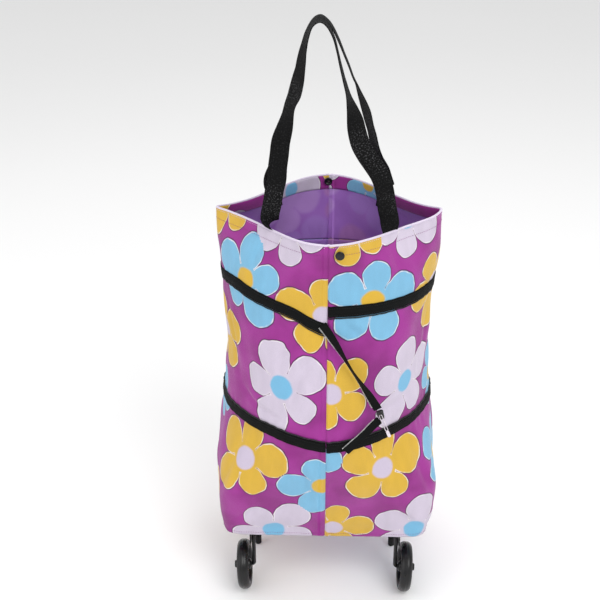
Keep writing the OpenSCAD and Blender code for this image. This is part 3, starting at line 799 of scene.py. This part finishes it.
def hard(name, low, high, roughness, scale=60.0, bump=0.00004, metallic=0.0, coat=0.0, scuff=0.12,
         shine=0.35):
    """Plastic, painted steel or bare metal with mottling, fine grain and scuffs."""
    shade = Shade(name, Metallic=metallic, Coat_Weight=coat, Coat_Roughness=0.15,
                  Specular_IOR_Level=shine)
    place = shade.place()
    mottle, grain = shade.noise(place, scale, 4.0), shade.noise(place, scale * 14, 2.0)
    scratches = shade.noise(shade.vector("MULTIPLY", place, (900.0, 120.0, 260.0)), 1.0, 3.0)
    shade.colour(shade.mix(shade.ramp(mottle, 0.35, 0.7), low, high))
    wear_and_glint = shade.math("ADD", shade.ramp(mottle, 0.3, 0.75, roughness - 0.05, roughness + 0.07),
                      shade.math("MULTIPLY", shade.ramp(scratches, 0.62, 0.75), scuff))
    shade.roughness(wear_and_glint)
    shade.bump(grain, bump, 0.8)
    shade.bump(scratches, bump * 2, 0.35)
    return shade.material


def make_materials():
    black, soot = srgb(14, 15, 15), srgb(30, 31, 33)
    return {
        "print_cloth": printed_cloth(),
        "lining": lining_cloth(),
        "binding_cloth": woven("binding_cloth", srgb(206, 192, 216), srgb(240, 234, 244), 0.0009,
                               0.0001, 0.7),
        "thread": hard("thread", srgb(120, 44, 112), srgb(150, 70, 140), 0.7, 500.0, 0.00003),
        "pale_thread": hard("pale_thread", srgb(196, 184, 204), srgb(226, 218, 232), 0.7, 500.0),
        "dark_thread": hard("dark_thread", black, soot, 0.6, 500.0, 0.00003),
        "webbing": webbing_cloth(),
        "zip_tape": woven("zip_tape", srgb(5, 6, 6), srgb(20, 22, 22), 0.0009, 0.00012, 0.7, 0.5,
                          0.12),
        "zip_coil": hard("zip_coil", srgb(22, 23, 24), srgb(48, 50, 52), 0.35, 300.0),
        "silver_coil": hard("silver_coil", srgb(150, 152, 150), srgb(204, 204, 202), 0.35, 300.0,
                            metallic=0.3),
        "base_board": hard("base_board", srgb(34, 30, 40), srgb(52, 46, 58), 0.65, 35.0, 0.0001),
        "snap_black": hard("snap_black", srgb(8, 8, 9), srgb(18, 18, 20), 0.3, 120.0, coat=0.12),
        # Silver with a faint pink cast; the pink is a painted reflection of the magenta cloth.
        "slider_metal": hard("slider_metal", srgb(206, 196, 206), srgb(232, 224, 232), 0.28, 160.0,
                             metallic=0.85),
        "slider_black": hard("slider_black", srgb(12, 12, 13), srgb(30, 30, 32), 0.3, 160.0, coat=0.4),
        "wire_black": hard("wire_black", srgb(6, 6, 7), srgb(16, 16, 18), 0.33, 90.0, coat=0.1),
        "plate_steel": hard("plate_steel", srgb(130, 130, 134), srgb(168, 168, 172), 0.38, 70.0,
                            metallic=0.85),
        "wheel_plastic": hard("wheel_plastic", srgb(6, 6, 7), srgb(17, 17, 19), 0.34, 60.0, coat=0.08),
        "tyre_plastic": hard("tyre_plastic", srgb(8, 8, 9), srgb(22, 22, 24), 0.3, 45.0,
                             0.00008, coat=0.05, scuff=0.2),
        "foot_rubber": hard("foot_rubber", srgb(12, 12, 13), srgb(24, 24, 26), 0.7, 120.0, 0.0001),
    }


MATERIALS = make_materials()


def finish_piece(piece, body, slot, material=None, replaces=()):
    """Gives a piece the material of its slot, or the one named, unless it has one; hides the nodes it stands
    for; hangs it under its body when that is one name and otherwise bakes its place.
    """
    if not piece.data.materials:
        piece.data.materials.append(MATERIALS[material or slot])
    if replaces:
        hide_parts(*replaces)
    if isinstance(body, str):
        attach(piece, body)
    else:
        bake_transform(piece)
    return piece


# --- bag ---

def level(z):
    return lambda share: np.full_like(np.asarray(share, float), z)


def offset(height, by):
    return lambda share: height(share) + by


def declare_tube(low, high):
    """A tube of cloth is cut as a strip as long as the way round; this works out that length and the height
    and does nothing more with them.
    """
    shares = np.linspace(0, 1, 400)
    middle = (low(shares) + high(shares)) / 2
    around = np.linalg.norm(np.diff(cloth_point(shares, middle), axis=0), axis=1).sum()
    tall = float(np.mean(high(shares) - low(shares))) * MM


def make_sections():
    both = [MATERIALS["print_cloth"], MATERIALS["lining"]]
    gap = 0.3
    parts = [
        ("lower_cloth", level(BASE_Z + 1), offset(lower_zip, -gap), 62, "lower_bag", "lower_section"),
        ("middle_cloth", offset(lower_zip, gap), offset(upper_zip, -gap), 62,
         ("lower_bag", "upper_bag", (0, 0, 0.300), (0, 0, 0.461)), "middle_section"),
        ("upper_cloth", offset(upper_zip, gap), level(RIM_Z - 2.2), 36, "upper_bag", "upper_section"),
    ]
    for name, low, high, rows, body, node in parts:
        piece = cloth_tube(name, low, high, rows, 0, -CLOTH_T, both)
        finish_piece(piece, body, "print_cloth", replaces=[node])
        declare_tube(low, high)


def make_facing():
    low, high = level(RIM_Z - 2.2 - FACING_H), level(RIM_Z - 2.2)
    out = -CLOTH_T - LAYER_GAP
    piece = cloth_tube("mouth_facing", low, high, 9, out, out - FACING_T,
                       [MATERIALS["print_cloth"]], shift=(0, -22))
    finish_piece(piece, "upper_bag", "print_cloth", replaces=["rim_facing"])
    declare_tube(low, high)


def make_rim_binding():
    """Folded edge strip over the rim, with a rounded top."""
    shares = ring_shares()
    middle = -(CLOTH_T + LAYER_GAP + FACING_T) / 2 + 0.2
    half = (CLOTH_T + LAYER_GAP + FACING_T) / 2 + 0.25
    angles = np.linspace(-0.25 * math.pi, 1.25 * math.pi, 11)
    rows = [(middle + half * math.cos(a), RIM_Z - 1.6 + 1.6 * math.sin(a)) for a in angles]
    rings = np.stack([cloth_point(shares, np.full(len(shares), z), out) for out, z in rows])
    faces = grid_faces(len(rows), len(shares), wrap_columns=True, wrap_rows=True)
    piece = make_mesh("rim_edge", rings.reshape(-1, 3), faces)
    add_strip_uv(piece)
    finish_piece(piece, "upper_bag", "binding_cloth", replaces=["rim_binding"])


def add_strip_uv(piece):
    """Cloth coordinates from the place round the object and the height, in metres."""
    mesh = piece.data
    co = np.array([v.co for v in mesh.vertices])
    index = np.zeros(len(mesh.loops), int)
    mesh.loops.foreach_get("vertex_index", index)
    around = np.arctan2(co[:, 1], co[:, 0]) * 0.14
    values = np.stack([around[index], co[index, 2]], axis=1)
    mesh.uv_layers.new(name="cloth").data.foreach_set("uv", values.astype(np.float32).ravel())


def zip_band(name, height, first, last, body, node):
    """Zip tape on the cloth: a flat strip with a raised middle and a stitched line near each edge."""
    half = TAPE_H / 2
    shares = np.linspace(first, last, 420)
    across = np.array([-1, -0.96, -0.8, -0.62, -0.5, -0.3, 0, 0.3, 0.5, 0.62, 0.8, 0.96, 1])
    rise = np.array([0.5, 1.3, 1.6, 1.25, 1.6, 1.75, 1.85, 1.75, 1.6, 1.25, 1.6, 1.3, 0.5])
    rows = [(a, r) for a, r in zip(across, rise)] + [(a, 0.35) for a in across[::-1]]
    rings = np.stack([cloth_point(shares, height(shares) + a * half, r) for a, r in rows])
    faces = grid_faces(len(rows), len(shares), wrap_rows=True)
    ends = len(shares)
    faces += [tuple(k * ends for k in range(len(rows))),
              tuple(k * ends + ends - 1 for k in range(len(rows)))[::-1]]
    piece = make_mesh(name, rings.reshape(-1, 3), faces)
    add_strip_uv(piece)
    return finish_piece(piece, body, "zip_tape", replaces=[node])


def coil_teeth(name, height, edge, sign, body, node, out):
    """Zip coil along a tape's open edge: teeth over a cord, out millimetres from the cloth."""
    middle = edge + sign * 1.5
    shares = np.linspace(0.001, 0.999, 900)
    at, _ = spaced(shares, height(shares) + middle, 1.7)
    starts = cloth_point(at, height(at) + middle - 1.25, out)
    ends = cloth_point(at, height(at) + middle + 1.25, out)
    teeth = beads(name, starts, ends, cloth_normal(at, height(at) + middle), 0.62 * MM, 0.5 * MM)
    finish_piece(teeth, body, "zip_coil", replaces=[node])
    cord_points = cloth_point(shares, height(shares) + middle, out - 0.2)
    cord = wire(name + "_cord", cord_points, 0.6 * MM, sides=6, up=(0, 0, 1))
    finish_piece(cord, body, "zip_coil")


def make_zips():
    half = TAPE_H / 2
    zip_band("lower_zip_band", lower_zip, 0.0005, 0.9995, "lower_bag", "lower_zip_tape")
    zip_band("upper_zip_band", upper_zip, 0.0005, 0.9995, "upper_bag", "upper_zip_tape")
    coil_teeth("lower_zip_teeth", lower_zip, half + 0.2, 1, "lower_bag", "lower_zip_coil", 1.3)
    coil_teeth("upper_zip_teeth", upper_zip, -half - 0.2, -1, "upper_bag", "upper_zip_coil", 0.4)
    for name, height, body in (("lower_zip_stitches", lower_zip, "lower_bag"),
                               ("upper_zip_stitches", upper_zip, "upper_bag")):
        rows = [offset(height, -0.62 * half), offset(height, 0.62 * half)]
        finish_piece(stitch_rows(name, rows, 1.35), body, "zip_tape", "dark_thread")


def make_seams():
    hem = stitch_rows("hem_stitches", [level(RIM_Z - 16)], 0.1, 3.6, 2.4, 0.24)
    finish_piece(hem, "upper_bag", "print_cloth", "thread")
    edge = stitch_rows("edge_stitches", [level(RIM_Z - 4.4)], 0.15, 3.4, 2.2, 0.24)
    finish_piece(edge, "upper_bag", "binding_cloth", "pale_thread")
    foot = stitch_rows("base_stitches", [level(BASE_Z + 7)], 0.1, 3.6, 2.4, 0.24)
    finish_piece(foot, "lower_bag", "print_cloth", "thread")


def make_base():
    """Cloth of the underside: printed, with a soft crown between the rivets."""
    shares = ring_shares()
    n = len(shares)
    edge = cloth_point(shares, np.full(n, BASE_Z + 1.0), -0.2)
    insets = [(1.0, 1.2), (0.985, 0.3), (0.95, 0.0), (0.8, 0.1), (0.6, 0.2), (0.4, 0.2), (0.2, 0.1)]
    rings, top_rings = [], []
    for share, rise in insets:
        ring = edge * [share, share, 0] + [0, 0, (BASE_Z + rise) * MM]
        rings.append(ring)
        top_rings.append(ring + [0, 0, (1.5 - 0.6 * rise) * MM])
    points = np.concatenate(rings + top_rings[::-1])
    rows = 2 * len(insets)
    faces = grid_faces(rows, n, wrap_columns=True)
    del faces[(len(insets) - 1) * n:len(insets) * n]
    low, high = (len(insets) - 1) * n, len(insets) * n
    faces += [tuple(low + i for i in range(n)), tuple(high + i for i in range(n))[::-1]]
    faces += [(i, (rows - 1) * n + i, (rows - 1) * n + (i + 1) % n, (i + 1) % n) for i in range(n)]
    piece = make_mesh("base_cloth", points, faces)
    flat_uv(piece)
    finish_piece(piece, "lower_bag", "print_cloth", replaces=["base_panel"])


def flat_uv(piece):
    """Print coordinates for a piece seen from below; daisies by the nearest one at each face."""
    mesh = piece.data
    co = np.array([v.co for v in mesh.vertices]) / MM
    petal, kind, cloth = [], [], []
    daisies = DAISIES[1]
    for polygon in mesh.polygons:
        middle = np.mean([co[i] for i in polygon.vertices], axis=0)
        places = (daisies[:, 1] - 150, daisies[:, 2] - 330)
        n = int(np.argmin(np.hypot(places[0] - middle[0], places[1] - middle[1])))
        colour, _, _, radius, turn = daisies[n]
        c, d = math.cos(math.radians(turn)), math.sin(math.radians(turn))
        for i in polygon.vertices:
            x, y = (co[i, 0] - places[0][n]) / radius, (co[i, 1] - places[1][n]) / radius
            petal.append((x * c + y * d, y * c - x * d))
            kind.append(((colour + 0.5) / 3, (n * SEEDS) % 1))
            cloth.append((co[i, 0] * MM, co[i, 1] * MM))
    for layer, values in (("cloth", cloth), ("petal", petal), ("kind", kind)):
        mesh.uv_layers.new(name=layer).data.foreach_set("uv", np.array(values, np.float32).ravel())


# --- handles ---

def webbing_section(width, thick, curl):
    """Closed section of flat webbing: rounded edges and a slight curl across."""
    across = np.array([-1, -0.97, -0.9, -0.6, -0.3, 0, 0.3, 0.6, 0.9, 0.97, 1])
    full = np.array([0.25, 0.75, 1, 1, 1, 1, 1, 1, 1, 0.75, 0.25])
    top = [(a * width / 2, f * thick / 2 + curl * a * a) for a, f in zip(across, full)]
    bottom = [(a * width / 2, -f * thick / 2 + curl * a * a) for a, f in zip(across, full)]
    return np.array(top + bottom[::-1])


def ribbon(name, points, sides, section):
    """Flat strip with cloth coordinates across and along it."""
    tangents = path_frames(points)
    sides = unit(sides - tangents * (sides * tangents).sum(1, keepdims=True))
    piece = tube(name, points, sides, np.cross(tangents, sides), section)
    mesh = piece.data
    arc = np.concatenate([[0], np.cumsum(np.linalg.norm(np.diff(points, axis=0), axis=1))])
    m = len(section)
    index = np.zeros(len(mesh.loops), int)
    mesh.loops.foreach_get("vertex_index", index)
    values = np.stack([section[index % m, 0], arc[index // m]], axis=1)
    mesh.uv_layers.new(name="cloth").data.foreach_set("uv", values.astype(np.float32).ravel())
    return piece


def share_at(turn_share, z):
    """Share of the way round at a share of a turn."""
    return float(np.interp(turn_share, look(TABLES[3], SHARES, np.full(len(SHARES), z)), SHARES))


def tail_rows(turn_share, facing_out, upward):
    """Path rows of a strap's tail inside the rim, with the webbing lying along the wall."""
    rows = []
    for z in (RIM_Z - TAIL_H, RIM_Z - 24, RIM_Z - 12, RIM_Z - 3):
        share = share_at(turn_share, z)
        at = cloth_point(share, z, -CLOTH_T - FACING_T - 3 * LAYER_GAP - WEBBING_T / 2) / MM
        step = cloth_point(share + 0.01, z) - cloth_point(share - 0.01, z)
        turn = math.degrees(math.atan2(step[1], step[0]))
        turn = facing_out + (turn - facing_out + 180) % 360 - 180
        rows.append((*at, turn))
    return rows if upward else rows[::-1]


def make_strap(name, path, tail_shares, body, nodes):
    first, last = path[0][3], path[-1][3]
    rows = (tail_rows(tail_shares[0], first, True) + path
            + tail_rows(tail_shares[1], last, False))
    run = smooth_path(rows, 6)
    turn = np.radians(run[:, 3])
    sides = np.stack([np.cos(turn), np.sin(turn), np.zeros(len(run))], axis=1)
    section = webbing_section(WEBBING_W * MM, WEBBING_T * MM, -1.0 * MM)
    piece = ribbon(name, run[:, :3] * MM, sides, section)
    finish_piece(piece, ("upper_bag", body, (0, 0, 0.592), (0, 0, 0.608)), "webbing",
                 replaces=nodes)


def make_handles():
    share = STRAP_TURN / 360
    make_strap("front_webbing", FRONT_STRAP_PATH, (share, 1 - share), "front_handle",
               ["front_strap", "front_strap_tails"])
    make_strap("back_webbing", BACK_STRAP_PATH, (0.5 - share, 0.5 + share), "back_handle",
               ["back_strap", "back_strap_tails"])


# --- free zip ends, slider and pull ---

def free_tape(name, path, teeth_side, body, node):
    run = smooth_path(path, 8)
    points = run[:, :3] * MM
    tangents = path_frames(points)
    flat = unit(np.cross(tangents, np.array((0.0, 1.0, 0.0)))) * teeth_side
    roll = np.radians(run[:, 3])[:, None]
    sides = flat * np.cos(roll) + np.cross(tangents, flat) * np.sin(roll)
    width = 12 * MM
    piece = ribbon(name, points, sides, webbing_section(width, 1.2 * MM, 0.4 * MM))
    finish_piece(piece, body, "zip_tape", replaces=[node])
    edge = points + sides * width * 0.5
    arc = np.concatenate([[0], np.cumsum(np.linalg.norm(np.diff(edge, axis=0), axis=1))])
    at = np.arange(0.8 * MM, arc[-1] - 6 * MM, 1.5 * MM)
    centre = np.stack([np.interp(at, arc, edge[:, k]) for k in range(3)], axis=1)
    out = np.stack([np.interp(at, arc, sides[:, k]) for k in range(3)], axis=1)
    normal = np.cross(np.stack([np.interp(at, arc, tangents[:, k]) for k in range(3)], axis=1), out)
    teeth = beads(name + "_teeth", centre - out * 1.0 * MM, centre + out * 1.2 * MM, normal,
                  0.66 * MM, 0.3 * MM)
    finish_piece(teeth, body, "zip_coil", "silver_coil")


def slider_place():
    return Matrix.Translation(Vector(SLIDER_AT) * MM) @ Matrix.Rotation(PULL_TILT, 4, "Y")


def placed(points, place):
    return np.array([tuple(place @ Vector(p)) for p in points])


def plate(name, outline_points, low, high, bevel, place):
    """Flat plate from an outline in X and Z of the place, with rounded rims, thick along Y."""
    bm = bmesh.new()
    ring = [bm.verts.new((x * MM, low * MM, z * MM)) for x, z in outline_points]
    face = bm.faces.new(ring)
    grown = bmesh.ops.extrude_face_region(bm, geom=[face])
    moved = [v for v in grown["geom"] if isinstance(v, bmesh.types.BMVert)]
    bmesh.ops.translate(bm, verts=moved, vec=(0, (high - low) * MM, 0))
    rims = [e for e in bm.edges if abs(e.verts[0].co.y - e.verts[1].co.y) < 1e-9]
    bmesh.ops.bevel(bm, geom=rims, offset=bevel * MM, segments=3, affect="EDGES", profile=0.5)
    bmesh.ops.recalc_face_normals(bm, faces=bm.faces)
    bm.transform(place)
    mesh = bpy.data.meshes.new(name)
    bm.to_mesh(mesh)
    bm.free()
    mesh.polygons.foreach_set("use_smooth", [True] * len(mesh.polygons))
    piece = bpy.data.objects.new(name, mesh)
    bpy.context.scene.collection.objects.link(piece)
    return piece


def rounded_outline(width, height, radius, steps=6, middle=(0, 0)):
    points = []
    for cx, cz, start in ((1, 1, 0), (-1, 1, 90), (-1, -1, 180), (1, -1, 270)):
        for k in range(steps + 1):
            a = math.radians(start + 90 * k / steps)
            points.append((middle[0] + cx * (width / 2 - radius) + radius * math.cos(a),
                           middle[1] + cz * (height / 2 - radius) + radius * math.sin(a)))
    return points


def make_slider():
    place = slider_place()
    shield = [(x * (1 - 0.25 * (z < 0)), z) for x, z in rounded_outline(10, 13, 3, middle=(0, -0.5))]
    front = plate("slider_front", shield, -2.5, -1.0, 0.4, place)
    finish_piece(front, "zip_slider", "slider_metal", "slider_black", replaces=["zip_slider"])
    back = plate("slider_back", shield, 1.0, 2.5, 0.4, place)
    finish_piece(back, "zip_slider", "slider_metal", "slider_black")
    post = plate("slider_post", rounded_outline(3, 5, 1, middle=(0, 2)), -1.1, 1.1, 0.2, place)
    finish_piece(post, "zip_slider", "slider_metal", "slider_black")
    arch = [(0, -2.2 - 4.0 * math.sin(math.pi * t), 4.2 - 8.4 * t) for t in np.linspace(0, 1, 17)]
    bridge = wire("slider_bridge", placed(np.array(arch) * MM, place), 0.8 * MM, up=(1, 0, 0))
    finish_piece(bridge, "zip_slider", "slider_metal", "slider_black")


def make_pull():
    """Slim wire loop through the bridge with a flat tab at its end."""
    place = slider_place() @ Matrix.Translation((0, -5 * MM, 0))
    loop = [(x, 0.0, z) for x, z in rounded_outline(3.6, 27, 1.7, 8, middle=(0, -11.6))]
    ring = wire("pull_loop", placed(np.array(loop) * MM, place), 0.55 * MM, closed=True, up=(0, 1, 0))
    finish_piece(ring, "zip_pull", "slider_metal", replaces=["zip_pull"])
    tab = plate("pull_tab", rounded_outline(4.6, 11, 2.2, middle=(0, -30.4)), -0.6, 0.6, 0.3, place)
    finish_piece(tab, "zip_pull", "slider_metal")


def make_zip_ends():
    free_tape("lower_tape_end", LOWER_TAPE_PATH, 1,
              ("lower_bag", "zip_slider", (0, 0, 0.293), (0, 0, 0.335)), "lower_free_tape")
    free_tape("upper_tape_end", UPPER_TAPE_PATH, -1,
              ("lower_bag", "upper_bag", (0, 0, 0.303), (0, 0, 0.459)), "upper_free_tape")
    make_slider()
    make_pull()


# --- snaps ---

def make_snap(name, node, facing, body="upper_bag", cap=True):
    """Domed snap half that fills its node's width; facing is 1 towards +Y and -1 towards -Y."""
    low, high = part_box(node)
    centre = (low + high) / 2
    radius = (high.x - low.x) / 2
    face_y = high.y if facing > 0 else low.y
    place = (Matrix.Translation((centre.x, face_y, centre.z))
             @ Matrix.Rotation(-facing * math.pi / 2, 4, "X"))
    thick = 3 * MM if cap else high.y - low.y
    if cap:
        rows = [(0.0005, -0.15), (0.35, -0.05), (0.6, -0.12), (0.8, -0.3), (0.93, -0.55), (1.0, -1.0),
                (1.0, -2.2), (0.9, -2.6), (0.3, -2.6), (0.25, -6.0), (0.2, -7.5), (0.0005, -7.5)]
        shape = [(r * radius, z * MM) for r, z in rows]
    else:
        rows = [(1.0, 0.25), (1.0, 0.75), (0.92, 0.95), (0.75, 1.0), (0.62, 0.9), (0.52, 0.55),
                (0.42, 0.5), (0.34, 0.72), (0.28, 0.72), (0.28, 0.05), (0.6, 0.0), (0.92, 0.05)]
        shape = [(r * radius, (z - 1) * thick) for r, z in rows]
    piece = lathe(name, shape, place, 48, closed=not cap)
    finish_piece(piece, body, "snap_black", replaces=[node])


def make_snaps():
    make_snap("front_snap_button", "front_snap_cap", -1)
    make_snap("front_snap_ring", "front_snap_socket", 1, cap=False)
    make_snap("back_snap_button", "back_snap_cap", 1)
    make_snap("back_snap_ring", "back_snap_stud", -1, cap=False)


# --- wheels ---

def wheel_place(side):
    """Frame of a wheel, with +Z outwards along its axle."""
    low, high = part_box("right_tyre")
    centre = (low + high) / 2
    outward = Vector((side * math.cos(CAMBER), 0, -math.sin(CAMBER)))
    turn = Vector((0, 0, 1)).rotation_difference(outward).to_matrix().to_4x4()
    return Matrix.Translation((side * centre.x, centre.y, centre.z)) @ turn


def tyre_outline():
    """Closed section of the tyre: sidewall step, bevelled shoulders and a fine moulding line."""
    half, tread = TREAD_W / 2, WHEEL_R
    points = [(31.0, -half + 0.6), (31.4, -half), (33.0, -half), (33.3, -half + 0.4),
              (33.9, -half + 0.4), (34.4, -half + 0.7), (35.9, -half + 2.4), (36.4, -half + 3.1),
              (37.2, -half + 4.9), (tread, -half + 6.0), (tread, -0.25), (tread + 0.12, -0.1)]
    mirrored = [(r, -z) for r, z in points[::-1]]
    return [(r * MM, z * MM) for r, z in points + mirrored]


def rim_outline():
    half = TREAD_W / 2 - 0.6
    points = [(27.6, -half + 1.2), (28.4, -half + 0.2), (30.2, -half), (30.9, -half + 0.5),
              (30.95, half - 0.5), (30.2, half), (28.4, half - 0.2), (27.6, half - 1.2)]
    return [(r * MM, z * MM) for r, z in points]


def hub_outline():
    half = WHEEL_W / 2 - 0.5
    points = [(3.06, -half), (6.6, -half), (7.4, -half + 0.5), (8.0, -half + 1.6), (8.6, -4.5),
              (8.6, 4.5), (8.0, half - 1.6), (7.4, half - 0.5), (6.6, half), (3.06, half)]
    return [(r * MM, z * MM) for r, z in points]


def spoke(name, place, angle):
    """Tapered spoke with a raised web, from the hub to the rim."""
    rows = []
    for t in np.linspace(0, 1, 9):
        radius = 7.6 + t * 20.6
        flare = 1 + 0.9 * (2 * t - 1) ** 4
        rows.append((radius, 1.7 * flare, 5.6 - 1.3 * math.sin(math.pi * t)))
    points = []
    for radius, wide, tall in rows:
        for a in np.arange(12) * math.pi / 6:
            c, s = math.cos(a), math.sin(a)
            y = wide * math.copysign(abs(c) ** 0.5, c)
            z = tall * math.copysign(abs(s) ** 0.5, s)
            points.append((radius * MM, y * MM, z * MM))
    turned = place @ Matrix.Rotation(angle, 4, "Z")
    faces = grid_faces(len(rows), 12, wrap_columns=True)
    faces += [tuple(range(12))[::-1], tuple((len(rows) - 1) * 12 + i for i in range(12))]
    return make_mesh(name, placed(points, turned), faces)


def join(name, pieces):
    """One mesh from several; the first one's data is kept."""
    bm = bmesh.new()
    for piece in pieces:
        bm.from_mesh(piece.data)
    mesh = bpy.data.meshes.new(name)
    bm.to_mesh(mesh)
    bm.free()
    for piece in pieces:
        bpy.data.objects.remove(piece)
    mesh.polygons.foreach_set("use_smooth", [True] * len(mesh.polygons))
    piece = bpy.data.objects.new(name, mesh)
    bpy.context.scene.collection.objects.link(piece)
    return piece


def make_wheels():
    for side, word in ((-1, "left"), (1, "right")):
        place = wheel_place(side)
        tyre = lathe(word + "_tread", tyre_outline(), place, 120, closed=True)
        finish_piece(tyre, word + "_wheel", "tyre_plastic", replaces=[word + "_tyre"])
        parts = [lathe("ring", rim_outline(), place, 96, closed=True),
                 lathe("hub", hub_outline(), place, 48, closed=True)]
        parts += [spoke("spoke", place, 2 * math.pi * k / 5) for k in range(5)]
        wheel = join(word + "_wheel_body", parts)
        finish_piece(wheel, word + "_wheel", "wheel_plastic", replaces=[word + "_rim"])


# --- carried-over nodes ---

def dress_cad_nodes():
    for row in frame["record"]["subparts"]:
        piece = frame["nodes"][row["node"]]
        piece.data.materials.clear()
        piece.data.materials.append(MATERIALS[row["material_slot"]])


# --- stage ---

def make_stage():
    floor = make_mesh("floor", [(-20, -20, 0), (20, -20, 0), (20, 20, 0), (-20, 20, 0)], [(0, 1, 2, 3)])
    shade = Shade("floor_paint", Roughness=0.9, Specular_IOR_Level=0.1)
    tone = shade.noise(shade.place(), 0.7, 2.0)
    shade.colour(shade.mix(tone, (0.93, 0.93, 0.93, 1), (0.96, 0.96, 0.96, 1)))
    floor.data.materials.append(shade.material)
    world = bpy.data.worlds.new("studio")
    world.use_nodes = True
    world.node_tree.nodes["Background"].inputs["Color"].default_value = (1, 1, 1, 1)
    world.node_tree.nodes["Background"].inputs["Strength"].default_value = 0.75
    bpy.context.scene.world = world
    target = Vector((0, 0, 0.4))
    lamps = (("key", (1.1, -1.7, 2.3), 1.6, 34), ("fill", (-2.2, -1.2, 1.5), 2.2, 16),
             ("top", (0.1, 0.6, 2.8), 1.8, 16))
    for name, at, size, power in lamps:
        lamp = bpy.data.lights.new(name, "AREA")
        lamp.size, lamp.energy = size, power
        holder = bpy.data.objects.new(name, lamp)
        holder.location = at
        holder.rotation_euler = (target - Vector(at)).to_track_quat("-Z", "Y").to_euler()
        bpy.context.scene.collection.objects.link(holder)
    bpy.context.scene.view_settings.view_transform = "Standard"


def make_camera():
    camera = bpy.data.cameras.new("camera")
    camera.lens, camera.sensor_width = 66, 36
    holder = bpy.data.objects.new("camera", camera)
    holder.location = (-0.0021, -1.428, 1.1457)
    holder.rotation_euler = (math.radians(90 - 26.27), 0, math.radians(1.52))
    bpy.context.scene.collection.objects.link(holder)
    bpy.context.scene.camera = holder


make_camera()
make_stage()
dress_cad_nodes()
make_sections()
make_facing()
make_rim_binding()
make_zips()
make_seams()
make_base()
make_handles()
make_zip_ends()
make_snaps()
make_wheels()
